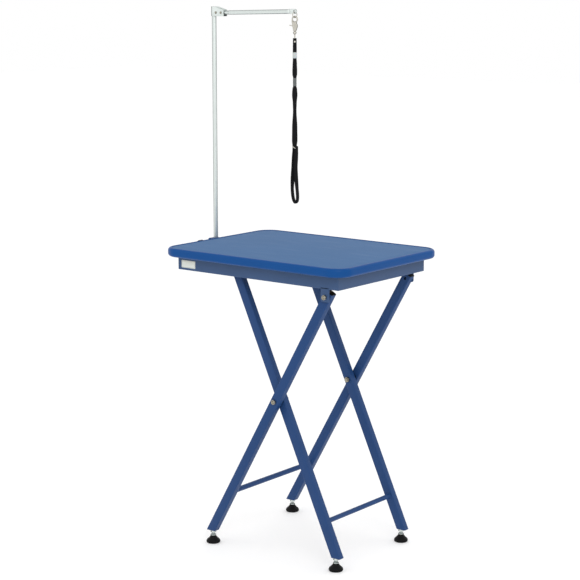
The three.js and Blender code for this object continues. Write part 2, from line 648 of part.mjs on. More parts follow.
function makeHook() {
  place(
    'hanging_ring',
    wireRing(RING_R, RING_WIRE, RING_TURN).translate(NOOSE_X, POST_Y, RING_Z),
    nickel,
  );

  const half = 2;
  const loop = new THREE.Shape();
  loop.absarc(0, HOOK_Z, HOOK_LOOP_R, 0, 2 * Math.PI);
  const eye = new THREE.Path();
  eye.absarc(0, HOOK_Z, HOOK_EYE_R, 0, 2 * Math.PI, true);
  loop.holes.push(eye);
  const body = outline([
    [-6.6, HOOK_Z - 7], [-7, HOOK_Z - 14], [-5.4, HOOK_Z - 22], [-3.6, HOOK_BOTTOM],
    [3.6, HOOK_BOTTOM], [5.4, HOOK_Z - 22], [7, HOOK_Z - 14], [6.6, HOOK_Z - 7],
  ]);
  const gateGap = block(-12, -4.5, -5, 5, HOOK_Z - 5.5, HOOK_Z + 2.5);
  const slot = block(-12, -1.4, -1.5, 1.5, HOOK_Z - 21, HOOK_Z - 4);
  const bore = rodZ(0, 0, HOOK_BOTTOM - 1, HOOK_BOTTOM + 6.5, 1.9, 16);
  const hook = solid(across(loop, -half, half, 12))
    .add(solid(across(body, -half - 1, half + 1)))
    .subtract(solid(block(-HOOK_EYE_R, HOOK_EYE_R, -5, 5, HOOK_Z - 5.2, HOOK_Z)))
    .subtract(solid(gateGap))
    .subtract(solid(slot))
    .subtract(solid(bore));
  const onNoose = (geometry) => geometry.rotateZ(HOOK_TURN).translate(NOOSE_X, POST_Y, 0);
  place('snap_hook', onNoose(geometryOf(hook)), nickel);

  const trigger = outline([
    [-15.5, HOOK_Z - 15], [-15.5, HOOK_Z - 17.4], [-7, HOOK_Z - 18.5], [-3.2, HOOK_Z - 18.5],
    [-3.2, HOOK_Z - 13.5], [-5.6, HOOK_Z - 8], [-5.9, HOOK_Z + 2], [-8.9, HOOK_Z + 2],
    [-9, HOOK_Z - 8], [-7.8, HOOK_Z - 14.8],
  ]);
  place('hook_trigger', onNoose(across(trigger, -1.1, 1.1)), nickel);

  const neck = 1.6;
  const ball = [[0, BALL_Z + BALL_R + 6]];
  ball.push([neck - 0.1, BALL_Z + BALL_R + 6]);
  const from = Math.acos(neck / BALL_R);
  for (let i = 0; i <= 8; i += 1) {
    const turn = from - (2 * from * i) / 8;
    ball.push([BALL_R * Math.cos(turn), BALL_Z + BALL_R * Math.sin(turn)]);
  }
  ball.push([neck, STRAP_TOP + 1.5], [0, STRAP_TOP + 1.5]);
  const stem = solid(turned(ball.reverse(), 0, 0));
  const barHalf = 4.5;
  const bar = new THREE.CylinderGeometry(neck, neck, 2 * barHalf, 12)
    .rotateZ(Math.PI / 2).translate(0, 0, STRAP_TOP + GAP + neck);
  const swivel = geometryOf(stem.add(solid(bar))).rotateZ(STRAP_FACE);
  place('swivel_eye', swivel.translate(NOOSE_X, POST_Y, 0), nickel);
}

// ---------- Noose ----------

// Where the strap's centreline runs, as [sideways, height] from the hanging line.
const STRAP_ROUTE = [
  [0, 1351], [0, 1320], [0, 1280], [0, 1240], [0, 1200], [0, 1160], [0, 1120], [0, 1090],
  [-0.6, 1070], [-3, 1045], [-4.8, 1015], [-7.2, 985], [-8.2, 958], [-6, 938], [-2.4, 926.5],
  [3.4, 920.5], [8.2, 925.5], [9.8, 938], [8, 958], [5, 985], [3.2, 1015], [4.6, 1040],
  [5.4, 1061],
];

function makeNoose() {
  const points = STRAP_ROUTE.map(([x, z]) => new THREE.Vector3(NOOSE_X + x, POST_Y, z));
  const route = new THREE.CatmullRomCurve3(points, false, 'centripetal');
  const section = new THREE.Shape();
  const sides = 8;
  for (let i = 0; i < sides; i += 1) {
    const turn = (2 * Math.PI * (i + 0.5)) / sides;
    section[i ? 'lineTo' : 'moveTo'](STRAP_R * Math.cos(turn), STRAP_R * Math.sin(turn));
  }
  section.closePath();
  const tube = new THREE.ExtrudeGeometry(section, { steps: 52, extrudePath: route });
  const rivetZ = 1347;
  const facing = (geometry) => geometry.rotateZ(STRAP_FACE).translate(NOOSE_X, POST_Y, 0);
  const rivetHole = facing(rodY(0, rivetZ, -4, 4, 1.3, 12));
  place('noose_strap', solid(tube).subtract(solid(rivetHole)), webbing);

  const headStart = STRAP_R + GAP;
  const rivet = solid(rodY(0, rivetZ, -headStart - 1, headStart + 1, 1, 12))
    .add(solid(rodY(0, rivetZ, headStart, headStart + 1, 3, 16)))
    .add(solid(rodY(0, rivetZ, -headStart - 1, -headStart, 3, 16)));
  place('strap_rivet', facing(geometryOf(rivet)), nickel);

  const sleeve = (length, width, low, high) => {
    const plan = roundedRect(length, width, 2);
    const hole = new THREE.Path();
    hole.absarc(0, 0, STRAP_R + 2 * GAP, 0, 2 * Math.PI, true);
    plan.holes.push(hole);
    return facing(upright(plan, low, high, 4));
  };
  place('strap_keeper', sleeve(11.5, 7.4, KEEPER_BOTTOM, KEEPER_TOP), clearPlastic);
  place('noose_slider', sleeve(10, 8, SLIDER_BOTTOM, SLIDER_TOP), greyPlastic);

  const slipRing = new THREE.TorusGeometry(SLIP_RING_R, 1.1, 6, 20)
    .rotateY(SLIP_RING_TILT).translate(NOOSE_X + 1.2, POST_Y, SLIP_RING_Z);
  place('slip_ring', slipRing, nickel);
}

makeTabletop();
makeApron();
makeSaddles();
makeLabel();
makeLegs();
makeFasteners();
makeFeet();
makePost();
makeArm();
makeHook();
makeNoose();

export default object;
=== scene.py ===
"""A folding grooming table with a clamped post, a folding arm and a hanging noose."""
import json
import math

import bmesh
import bpy
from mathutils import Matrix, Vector


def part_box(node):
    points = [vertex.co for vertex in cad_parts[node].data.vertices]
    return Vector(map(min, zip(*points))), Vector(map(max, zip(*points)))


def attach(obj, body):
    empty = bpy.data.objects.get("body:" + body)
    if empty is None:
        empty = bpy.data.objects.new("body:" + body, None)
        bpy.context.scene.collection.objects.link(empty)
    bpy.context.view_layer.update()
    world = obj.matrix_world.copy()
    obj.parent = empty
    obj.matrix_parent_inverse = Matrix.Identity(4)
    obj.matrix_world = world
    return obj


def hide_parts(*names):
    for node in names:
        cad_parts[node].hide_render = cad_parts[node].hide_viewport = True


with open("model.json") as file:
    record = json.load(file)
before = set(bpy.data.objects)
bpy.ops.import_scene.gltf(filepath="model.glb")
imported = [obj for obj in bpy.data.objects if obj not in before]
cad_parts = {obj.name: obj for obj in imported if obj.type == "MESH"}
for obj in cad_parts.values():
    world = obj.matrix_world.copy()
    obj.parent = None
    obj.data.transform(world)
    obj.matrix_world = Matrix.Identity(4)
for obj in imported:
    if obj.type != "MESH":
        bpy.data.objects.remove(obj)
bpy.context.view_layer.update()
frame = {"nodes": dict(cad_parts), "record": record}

bl_info = {
    "name": "Folding Grooming Table",
    "version": (1, 0, 0),
    "blender": (4, 5, 0),
    "location": "3D View > Sidebar > Grooming Table",
    "description": "Builds the finished pieces of a folding grooming table around its frame",
    "category": "Add Mesh",
}

# ---------- Fixed facts of the frame: lengths in metres, angles in radians ----------

MM = 0.001
QUARTER = math.radians(90)
MERGE_GAP = 0.000002  # points closer than this become one
SIDES = 48  # sides of a turned piece
SMOOTH_ANGLE = math.radians(32)
PAIRS = (("front", -1), ("rear", 1))
FEET = ("front_outer", "rear_outer", "front_inner", "rear_inner")
OUTER_LEAN = math.radians(29.5)
INNER_LEAN = math.radians(-24.7)
PIVOT_TO_TOP = 0.3405
OUTER_OVERRUN = 0.0125
INNER_OVERRUN = 0.008
LEG_CUT = 0.035  # height of the level cut at the foot
LEG_WIDE = 0.025
LEG_DEEP = 0.02
PLATE = 0.003  # thickness of tabs and saddles
SHANK_RADIUS = 0.004
BORE_RADIUS = 0.0043
HEAD_HEIGHT = 0.0053
RING_RADIUS = 0.0072
STRAP_FACE = math.radians(38)
LOOP_FACE = math.radians(90)
HOOK_TURN = math.radians(10)
RING_TURN = math.radians(75)
ARM_RISE = math.radians(1.2)
ARM_LENGTH = 0.249
BRACKET_REACH = 0.04


def middle(node):
    low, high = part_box(node)
    return (low + high) / 2


def extent(node):
    low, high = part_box(node)
    return high - low


# ---------- Sizes and colours that a user may change ----------


def length_prop(name, description, default):
    return bpy.props.FloatProperty(
        name=name, description=description, default=default, min=0.0, unit="LENGTH", precision=4
    )


def colour_prop(name, description, default):
    return bpy.props.FloatVectorProperty(
        name=name, description=description, default=default, size=3, min=0.0, max=1.0, subtype="COLOR"
    )


class GroomingTableSizes(bpy.types.PropertyGroup):
    """Rounding, wall and cord sizes of the finished pieces."""

    rim_round: length_prop("Rim rounding", "Radius of the moulded edge", 0.0085)
    mat_round: length_prop("Mat rounding", "Radius of the mat's upper edge", 0.0006)
    tube_corner: length_prop("Tube corner", "Corner radius of the leg tube", 0.0022)
    rail_corner: length_prop("Rail corner", "Corner radius of the apron rails", 0.0012)
    plate_round: length_prop("Plate rounding", "Broken edge of plates and brackets", 0.0005)
    thread_pitch: length_prop("Thread pitch", "Pitch of the M8 threads", 0.00125)
    strap_width: length_prop("Strap width", "Full width of the noose strap", 0.0118)
    strap_thickness: length_prop("Strap thickness", "Thickness of the noose strap", 0.0033)
    ring_wire: length_prop("Ring wire", "Wire radius of the rings", 0.0011)


class GroomingTableColours(bpy.types.PropertyGroup):
    """Colours of the finishes."""

    rim: colour_prop("Rim", "Moulded edge", (0.0045, 0.062, 0.23))
    mat: colour_prop("Mat", "Padded mat", (0.062, 0.137, 0.278))
    powder: colour_prop("Powder coat", "Legs and apron", (0.0155, 0.052, 0.16))
    board: colour_prop("Board", "Raw board under the mat", (0.42, 0.3, 0.18))
    apron: colour_prop("Apron coat", "Rails under the top", (0.031, 0.072, 0.17))
    zinc: colour_prop("Zinc", "Plated fasteners", (0.33, 0.32, 0.28))
    chrome: colour_prop("Chrome", "Post and arm", (0.66, 0.71, 0.69))
    nickel: colour_prop("Nickel", "Hook and rings", (0.56, 0.54, 0.48))
    black: colour_prop("Black", "Moulded black parts", (0.004, 0.004, 0.0045))
    webbing: colour_prop("Webbing", "Noose strap", (0.0025, 0.0025, 0.003))
    keeper: colour_prop("Keeper", "Milky sleeve", (0.47, 0.5, 0.5))
    slider: colour_prop("Slider", "Ribbed slider", (0.12, 0.13, 0.13))
    label: colour_prop("Label", "Blank label", (0.66, 0.7, 0.66))


def sizes():
    return bpy.context.scene.grooming_table_sizes


def colours():
    return bpy.context.scene.grooming_table_colours


# ---------- Shader writing ----------


class Wire:
    """A shader socket that takes part in ordinary arithmetic."""

    def __init__(self, recipe, socket):
        self.recipe = recipe
        self.socket = socket

    def __add__(self, other):
        return self.recipe.math("ADD", self, other)

    def __radd__(self, other):
        return self.recipe.math("ADD", other, self)

    def __sub__(self, other):
        return self.recipe.math("SUBTRACT", self, other)

    def __rsub__(self, other):
        return self.recipe.math("SUBTRACT", other, self)

    def __mul__(self, other):
        return self.recipe.math("MULTIPLY", self, other)

    def __rmul__(self, other):
        return self.recipe.math("MULTIPLY", other, self)

    def __gt__(self, other):
        return self.recipe.math("GREATER_THAN", self, other)

    def __lt__(self, other):
        return self.recipe.math("LESS_THAN", self, other)


class Recipe:
    """One material and the nodes that are added to it."""

    def __init__(self, name, colour, roughness, metallic=0.0, **constants):
        self.material = bpy.data.materials.new(name)
        self.material.use_nodes = True
        self.tree = self.material.node_tree
        self.shader = self.tree.nodes["Principled BSDF"]
        self.colour = colour
        self.set("Base Color", (*colour, 1.0))
        self.set("Roughness", roughness)
        self.set("Metallic", metallic)
        for socket, value in constants.items():
            self.set(socket.replace("_", " "), value)

    def feed(self, socket, value):
        if isinstance(value, Wire):
            self.tree.links.new(value.socket, socket)
        else:
            socket.default_value = value

    def set(self, socket, value):
        self.feed(self.shader.inputs[socket], value)

    def node(self, kind, settings=None, inputs=None, output=0):
        made = self.tree.nodes.new(kind)
        for key, value in (settings or {}).items():
            if key == "stops":
                self.set_stops(made.color_ramp, value)
            else:
                setattr(made, key, value)
        for key, value in (inputs or {}).items():
            self.feed(made.inputs[key], value)
        return Wire(self, made.outputs[output])

    def set_stops(self, ramp, stops):
        while len(ramp.elements) < len(stops):
            ramp.elements.new(1.0)
        for element, (place, grey) in zip(ramp.elements, stops):
            element.position = place
            element.color = (grey, grey, grey, 1.0)

    def math(self, operation, *values):
        return self.node("ShaderNodeMath", {"operation": operation}, dict(enumerate(values)))

    def blend(self, factor, first, second):
        inputs = {0: factor, 6: opaque(first), 7: opaque(second)}
        return self.node("ShaderNodeMix", {"data_type": "RGBA"}, inputs, output=2)

    def place(self, scale=(1.0, 1.0, 1.0), turn=(0.0, 0.0, 0.0)):
        coordinates = self.node("ShaderNodeTexCoord", output="Object")
        return self.node("ShaderNodeMapping", None, {"Vector": coordinates, "Scale": scale, "Rotation": turn})

    def noise(self, vector, scale, detail=2.0):
        return self.node("ShaderNodeTexNoise", None, {"Vector": vector, "Scale": scale, "Detail": detail})

    def ramp(self, value, *stops):
        return self.node("ShaderNodeValToRGB", {"stops": stops}, {"Fac": value})

    def bump(self, height, distance, strength=1.0):
        inputs = {"Height": height, "Distance": distance, "Strength": strength}
        self.set("Normal", self.node("ShaderNodeBump", None, inputs))

    def drift(self, factor, darker, lighter):
        return self.blend(factor, scaled(self.colour, darker), scaled(self.colour, lighter))

    def tint(self, factor, darker, lighter):
        """Base colour that drifts between a darker and a lighter version of itself."""
        self.set("Base Color", self.drift(factor, darker, lighter))

    def paint_edge_shade(self, factor, darker, lighter, edge):
        """Painted shade: a drifting colour that falls to a darker copy of itself, edge times the colour,
        where a round metal surface turns away from the view, standing in for its darker reflection there.
        """
        facing = self.node("ShaderNodeLayerWeight", None, {"Blend": 0.5}, output=1)
        # mask of the painted shade: rises where the surface turns away from the view
        turning = self.ramp(facing, (0.25, 0.0), (0.7, 1.0))
        facing_colour = self.drift(factor, darker, lighter)
        self.set("Base Color", self.blend(turning, facing_colour, scaled(self.colour, edge)))


def opaque(colour):
    if isinstance(colour, Wire) or len(colour) == 4:
        return colour
    return (*colour, 1.0)


def scaled(colour, factor):
    return tuple(min(1.0, part * factor) for part in colour)


# ---------- Finishes ----------


def moulded_rim_finish():
    recipe = Recipe("moulded_rim_blue", colours().rim, 0.3, Specular_IOR_Level=0.1)
    along = recipe.place((1.0, 1.0, 14.0))
    drawn = recipe.noise(along, 60.0, 3.0)
    drift = recipe.noise(recipe.place(), 7.0, 3.0)
    recipe.tint(drift * 0.6 + drawn * 0.4, 0.88, 1.12)
    recipe.set("Roughness", 0.28 + drawn * 0.14)
    recipe.bump(drawn, 0.00006, 0.5)
    return recipe.material


def mat_finish():
    recipe = Recipe("padded_mat_blue", colours().mat, 0.8, Specular_IOR_Level=0.2)
    at = recipe.place()
    pebble = recipe.node(
        "ShaderNodeTexVoronoi", {"feature": "SMOOTH_F1"}, {"Vector": at, "Scale": 620.0, "Smoothness": 0.4})
    grain = recipe.noise(at, 1500.0, 2.0)
    drift = recipe.noise(at, 5.0, 4.0)
    rubbed = recipe.noise(recipe.place((1.0, 5.0, 1.0), (0.0, 0.0, 0.5)), 9.0, 5.0)
    scuffs = recipe.ramp(rubbed, (0.5, 0.0), (0.78, 1.0))
    recipe.tint(drift * 0.7 + pebble * 0.45, 0.9, 1.12)
    recipe.set("Roughness", 0.86 - scuffs * 0.12 - pebble * 0.08)
    recipe.bump(pebble * 0.8 + grain * 0.25, 0.00025, 0.55)
    return recipe.material


def powder_coat(name, colour, shine):
    recipe = Recipe(name, colour, 0.42, Specular_IOR_Level=shine)
    at = recipe.place()
    peel = recipe.noise(at, 700.0, 2.0)
    speck = recipe.noise(at, 2600.0, 1.0)
    drift = recipe.noise(at, 9.0, 4.0)
    rubbed = recipe.ramp(recipe.noise(at, 34.0, 6.0), (0.56, 0.0), (0.72, 1.0))
    recipe.tint(drift * 0.7 + speck * 0.3, 0.86, 1.14)
    recipe.set("Roughness", 0.38 + peel * 0.1 + rubbed * 0.08)
    recipe.bump(peel * 0.8 + speck * 0.3, 0.00016, 0.5)
    return recipe.material


def powder_coat_finish():
    return powder_coat("powder_coat_blue", colours().powder, 0.16)


def apron_finish():
    return powder_coat("powder_coat_apron", colours().apron, 0.28)


def board_finish():
    recipe = Recipe("raw_chipboard", colours().board, 0.85)
    at = recipe.place((1.0, 0.55, 1.0), (0.0, 0.0, 0.3))
    flakes = recipe.node("ShaderNodeTexVoronoi", None, {"Vector": at, "Scale": 210.0}, output="Color")
    flake = recipe.node("ShaderNodeSeparateColor", None, {"Color": flakes})
    dust = recipe.noise(at, 900.0, 3.0)
    recipe.tint(flake * 0.75 + dust * 0.25, 0.6, 1.25)
    recipe.bump(flake + dust * 0.4, 0.0002, 0.6)
    return recipe.material


def zinc_finish():
    recipe = Recipe("zinc_plate", colours().zinc, 0.34, 1.0)
    at = recipe.place()
    spangle = recipe.noise(at, 420.0, 3.0)
    yellow = recipe.noise(at, 70.0, 2.0)
    recipe.set("Base Color", recipe.blend(
        recipe.ramp(yellow, (0.35, 0.0), (0.7, 1.0)), scaled(colours().zinc, 1.05), (0.3, 0.27, 0.2)))
    recipe.set("Roughness", 0.26 + spangle * 0.2)
    recipe.bump(spangle, 0.00005, 0.5)
    return recipe.material


def drawn_chrome(name, scale):
    """Satin chrome with fine scratches along the tube, and painted shade where the tube turns away from the
    view.
    """
    recipe = Recipe(name, colours().chrome, 0.36, 1.0, Specular_Tint=(0.16, 0.18, 0.18, 1.0))
    streak = recipe.noise(recipe.place(scale), 1.0, 4.0)
    haze = recipe.noise(recipe.place(), 40.0, 3.0)
    # random haze tone, plus painted shade: the colour falls to 0.3 of itself where the surface turns away
    # from the view
    recipe.paint_edge_shade(haze, 0.98, 1.04, 0.3)
    recipe.set("Roughness", 0.32 + streak * 0.1 + haze * 0.05)
    recipe.bump(streak, 0.00001, 0.25)
    return recipe.material


def chrome_finish():
    return drawn_chrome("satin_chrome_upright", (1800.0, 1800.0, 22.0))


def level_chrome_finish():
    return drawn_chrome("satin_chrome_level", (22.0, 1800.0, 1800.0))


def nickel_finish():
    recipe = Recipe("nickel_plate", colours().nickel, 0.3, 1.0, Specular_Tint=(0.25, 0.24, 0.22, 1.0))
    at = recipe.place()
    cast = recipe.noise(at, 500.0, 3.0)
    tarnish = recipe.noise(at, 120.0, 4.0)
    # random tarnish tone, plus painted shade: the colour falls to 0.22 of itself where the surface turns away
    # from the view
    recipe.paint_edge_shade(tarnish, 0.85, 1.15, 0.22)
    recipe.set("Roughness", 0.24 + cast * 0.2)
    recipe.bump(cast, 0.0001, 0.5)
    return recipe.material


def black_finish():
    recipe = Recipe("moulded_black", colours().black, 0.5, Specular_IOR_Level=0.12)
    at = recipe.place()
    grain = recipe.noise(at, 1400.0, 3.0)
    dust = recipe.ramp(recipe.noise(at, 90.0, 5.0), (0.5, 0.0), (0.8, 1.0))
    recipe.set("Base Color", recipe.blend(dust * 0.5, scaled(colours().black, 0.8), (0.009, 0.009, 0.01)))
    recipe.set("Roughness", 0.4 + grain * 0.16)
    recipe.bump(grain, 0.00012, 0.6)
    return recipe.material


WEFT_PITCH = 0.0015
WARP_PITCH = 0.0012


def webbing_finish():
    """Plain weave that follows the strap's own length and width, with painted highlight on the raised
    crossings and painted shade between them.
    """
    recipe = Recipe("woven_black_strap", colours().webbing, 0.8, Specular_IOR_Level=0.12)
    lay = recipe.node("ShaderNodeUVMap", {"uv_map": "lay"})
    both = recipe.node("ShaderNodeSeparateXYZ", None, {"Vector": lay})
    across = Wire(recipe, both.socket.node.outputs["Y"])
    weft = recipe.math("SINE", both * (2 * math.pi / WEFT_PITCH))
    warp = recipe.math("SINE", across * (2 * math.pi / WARP_PITCH))
    crossing = weft * warp
    fuzz = recipe.noise(recipe.place(), 3000.0, 3.0)
    # painted highlight and shade: the colour follows the crossings that the bump raises, lighter on top and
    # darker between; fuzz adds random tone
    recipe.tint(recipe.ramp(crossing * 0.5 + 0.5, (0.2, 0.0), (0.9, 1.0)) * 0.8 + fuzz * 0.3, 0.5, 4.5)
    recipe.set("Roughness", 0.62 + fuzz * 0.25)
    recipe.bump(crossing * 0.5 + warp * 0.3 + fuzz * 0.4, 0.0002, 0.8)
    return recipe.material


def keeper_finish():
    recipe = Recipe("milky_sleeve", colours().keeper, 0.35, Subsurface_Weight=0.15, Subsurface_Scale=0.002)
    cloud = recipe.noise(recipe.place((1.0, 1.0, 3.0)), 240.0, 3.0)
    recipe.tint(cloud, 0.86, 1.08)
    recipe.set("Roughness", 0.28 + cloud * 0.2)
    recipe.bump(cloud, 0.00012, 0.5)
    return recipe.material


def slider_finish():
    recipe = Recipe("grey_slider", colours().slider, 0.45)
    grain = recipe.noise(recipe.place((1.0, 1.0, 6.0)), 500.0, 3.0)
    recipe.tint(grain, 0.7, 1.3)
    recipe.set("Roughness", 0.4 + grain * 0.15)
    recipe.bump(grain, 0.0001, 0.5)
    return recipe.material


def label_finish():
    """A blank white label with a plain printed border."""
    recipe = Recipe("blank_label", colours().label, 0.42)
    centre = middle("label_plate")
    half = extent("label_plate") / 2
    at = recipe.node("ShaderNodeTexCoord", output="Object")
    split = recipe.node("ShaderNodeSeparateXYZ", None, {"Vector": at})
    height = Wire(recipe, split.socket.node.outputs["Z"])
    from_side = half.x - recipe.math("ABSOLUTE", split - centre.x)
    from_end = half.z - recipe.math("ABSOLUTE", height - centre.z)
    edge = recipe.math("MINIMUM", from_side, from_end)
    border = (edge > 0.0013) * (edge < 0.0019)
    fibre = recipe.noise(recipe.place(), 700.0, 4.0)
    paper = recipe.blend(fibre, scaled(colours().label, 0.93), scaled(colours().label, 1.04))
    recipe.set("Base Color", recipe.blend(border, paper, (0.2, 0.23, 0.25)))
    recipe.bump(fibre, 0.00004, 0.4)
    return recipe.material


FINISHES = {
    "moulded_edge": moulded_rim_finish,
    "mat": mat_finish,
    "powder_coat": powder_coat_finish,
    "apron_coat": apron_finish,
    "board": board_finish,
    "zinc": zinc_finish,
    "chrome": chrome_finish,
    "level_chrome": level_chrome_finish,
    "nickel": nickel_finish,
    "black_plastic": black_finish,
    "webbing": webbing_finish,
    "clear_plastic": keeper_finish,
    "grey_plastic": slider_finish,
    "label": label_finish,
}
made_finishes = {}


def finish(slot):
    if slot not in made_finishes:
        made_finishes[slot] = FINISHES[slot]()
    return made_finishes[slot]


# ---------- Working at the bench ----------


def clear_selection():
    if bpy.context.mode != "OBJECT":
        bpy.ops.object.mode_set(mode="OBJECT")
    bpy.ops.object.select_all(action="DESELECT")


def take(piece):
    clear_selection()
    piece.select_set(True)
    bpy.context.view_layer.objects.active = piece


def edit(piece):
    take(piece)
    bpy.ops.object.mode_set(mode="EDIT")


def edit_all(piece):
    edit(piece)
    bpy.ops.mesh.select_all(action="SELECT")


def pick(piece, kind, wanted):
    """Selects the faces, edges or vertices that pass a test, in edit mode."""
    bpy.ops.mesh.select_mode(type=kind)
    bpy.ops.mesh.select_all(action="DESELECT")
    shape = bmesh.from_edit_mesh(piece.data)
    for part in {"FACE": shape.faces, "EDGE": shape.edges, "VERT": shape.verts}[kind]:
        if wanted(part):
            part.select_set(True)
    bmesh.update_edit_mesh(piece.data)


def raise_by(height):
    """Extrudes what is selected upwards."""
    bpy.ops.mesh.extrude_region_move(TRANSFORM_OT_translate={"value": (0, 0, height)})


def widen(x, y, height=0.0):
    """Scales what is selected in X and Y, around the Z axis."""
    bpy.ops.transform.resize(value=(x, y, 1), center_override=(0, 0, height))


def close_up(piece):
    """Merges doubles, turns the faces outwards and leaves edit mode."""
    bpy.ops.mesh.select_mode(type="VERT")
    bpy.ops.mesh.select_all(action="SELECT")
    bpy.ops.mesh.remove_doubles(threshold=MERGE_GAP)
    bpy.ops.mesh.normals_make_consistent(inside=False)
    bpy.ops.object.mode_set(mode="OBJECT")
    return piece


def write_place(piece):
    """Writes the active piece's place, turn and scale into its mesh."""
    bpy.ops.object.transform_apply(location=True, rotation=True, scale=True)
    return piece


def settle(piece, location=(0, 0, 0), rotation=(0, 0, 0)):
    """Puts a piece in its place and writes that place into its mesh."""
    take(piece)
    piece.location = Vector(location)
    piece.rotation_euler = rotation
    return write_place(piece)


def modify(piece, kind, **settings):
    take(piece)
    bpy.ops.object.modifier_add(type=kind)
    modifier = piece.modifiers[-1]
    for key, value in settings.items():
        setattr(modifier, key, value)
    bpy.ops.object.modifier_apply(modifier=modifier.name)
    return piece


def soften(piece, width, segments=3, angle=40):
    return modify(
        piece, "BEVEL", width=width, segments=segments, limit_method="ANGLE", angle_limit=math.radians(angle))


def carve(piece, *cutters, operation="DIFFERENCE"):
    for cutter in cutters:
        modify(piece, "BOOLEAN", object=cutter, operation=operation, solver="EXACT")
        bpy.data.objects.remove(cutter)
    return piece


def join(*pieces):
    take(pieces[0])
    for piece in pieces[1:]:
        piece.select_set(True)
    bpy.ops.object.join()
    return bpy.context.object


def copy_of(piece):
    clone = piece.copy()
    clone.data = piece.data.copy()
    bpy.context.scene.collection.objects.link(clone)
    return clone


def deliver(piece, name, body, slot, *nodes, look=None):
    """Names a finished piece, gives it its finish and lets it ride on its body."""
    take(piece)
    write_place(piece)
    bpy.ops.object.shade_smooth_by_angle(angle=SMOOTH_ANGLE)
    piece.name = name
    piece.data.name = name
    piece.data.materials.clear()
    piece.data.materials.append(finish(look or slot))
    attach(piece, body)
    if nodes:
        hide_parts(*nodes)
    return piece


def arc(centre_x, centre_y, radius, start, stop, steps=6):
    """Points of an arc for a profile or an outline, with angles in degrees from the first axis."""
    points = []
    for step in range(steps + 1):
        angle = math.radians(start + (stop - start) * step / steps)
        points.append((centre_x + radius * math.cos(angle), centre_y + radius * math.sin(angle)))
    return points


def turned(profile, sides=SIDES, hollow=False):
    """Turned on the Z axis: a circle is extruded and scaled along (radius, height) points."""
    radius, height = profile[0]
    clear_selection()
    bpy.ops.mesh.primitive_circle_add(
        vertices=sides, radius=radius, fill_type="NOTHING" if hollow else "NGON", location=(0, 0, height))
    piece = bpy.context.object
    edit_all(piece)
    for next_radius, next_height in profile[1:]:
        raise_by(next_height - height)
        widen(next_radius / radius, next_radius / radius, next_height)
        radius, height = next_radius, next_height
    close_up(piece)
    return settle(piece, piece.location)


def outlined(points, depth):
    """A plate whose outline is drawn point by point in X and Y, and raised by its depth."""
    x, y = points[0]
    clear_selection()
    bpy.ops.mesh.primitive_plane_add(size=MM)
    piece = bpy.context.object
    edit_all(piece)
    bpy.ops.mesh.merge(type="CENTER")
    bpy.ops.transform.translate(value=(x, y, 0))
    for next_x, next_y in points[1:]:
        bpy.ops.mesh.extrude_vertices_move(TRANSFORM_OT_translate={"value": (next_x - x, next_y - y, 0)})
        x, y = next_x, next_y
    pick(piece, "VERT", lambda vert: len(vert.link_edges) == 1)
    bpy.ops.mesh.edge_face_add()
    bpy.ops.mesh.select_all(action="SELECT")
    bpy.ops.mesh.edge_face_add()
    raise_by(depth)
    return close_up(piece)


def upright(points, depth, back=0.0):
    """A plate outlined in X and Z, with its far face at Y = back."""
    return settle(outlined(points, depth), (0, back, 0), (QUARTER, 0, 0))


def box_piece(low, high):
    low, high = Vector(low), Vector(high)
    clear_selection()
    bpy.ops.mesh.primitive_cube_add(size=1, location=(low + high) / 2)
    piece = bpy.context.object
    piece.scale = high - low
    return write_place(piece)


def rounded_slab(length, width, corner, low, high, segments=10):
    """A slab with rounded corners in plan, around the Z axis."""
    clear_selection()
    bpy.ops.mesh.primitive_plane_add(size=1, location=(0, 0, low))
    piece = bpy.context.object
    edit_all(piece)
    widen(length, width, low)
    bpy.ops.mesh.bevel(offset=corner, segments=segments, affect="VERTICES")
    bpy.ops.mesh.select_all(action="SELECT")
    raise_by(high - low)
    close_up(piece)
    return settle(piece, piece.location)


def rod(radius, start, stop, sides=SIDES):
    """A straight round bar between two points."""
    start, stop = Vector(start), Vector(stop)
    clear_selection()
    bpy.ops.mesh.primitive_cylinder_add(
        vertices=sides,
        radius=radius,
        depth=(stop - start).length,
        location=(start + stop) / 2,
        rotation=(stop - start).to_track_quat("Z", "Y").to_euler(),
    )
    return write_place(bpy.context.object)


def hoop(radius, wire, centre, rotation, around=48, section=14):
    clear_selection()
    bpy.ops.mesh.primitive_torus_add(
        major_radius=radius, minor_radius=wire, major_segments=around, minor_segments=section,
        location=centre, rotation=rotation)
    return write_place(bpy.context.object)


def seated(piece, node, side):
    """Lays a piece that was turned on Z in its node's place along Y, with its top facing that side."""
    low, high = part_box(node)
    at = middle(node)
    return settle(piece, (at.x, high.y if side < 0 else low.y, at.z), (-QUARTER * side, 0, 0))


def hung(piece, turn):
    """Moves a piece that was made on the Z axis to the line that the noose hangs on."""
    hang = middle("swivel_eye")
    return settle(piece, (hang.x, hang.y, 0), (0, 0, turn))


# ---------- Strap of the noose ----------

# Where the strap's centreline runs, as [sideways, height] in mm from the hanging line.
STRAP_ROUTE = (
    (0, 1351), (0, 1320), (0, 1280), (0, 1240), (0, 1200), (0, 1160), (0, 1120), (0, 1090),
    (-0.6, 1070), (-3, 1045), (-4.8, 1015), (-7.2, 985), (-8.2, 958), (-6, 938), (-2.4, 926.5),
    (3.4, 920.5), (8.2, 925.5), (9.8, 938), (8, 958), (5, 985), (3.2, 1015), (4.6, 1040),
    (5.4, 1061),
)
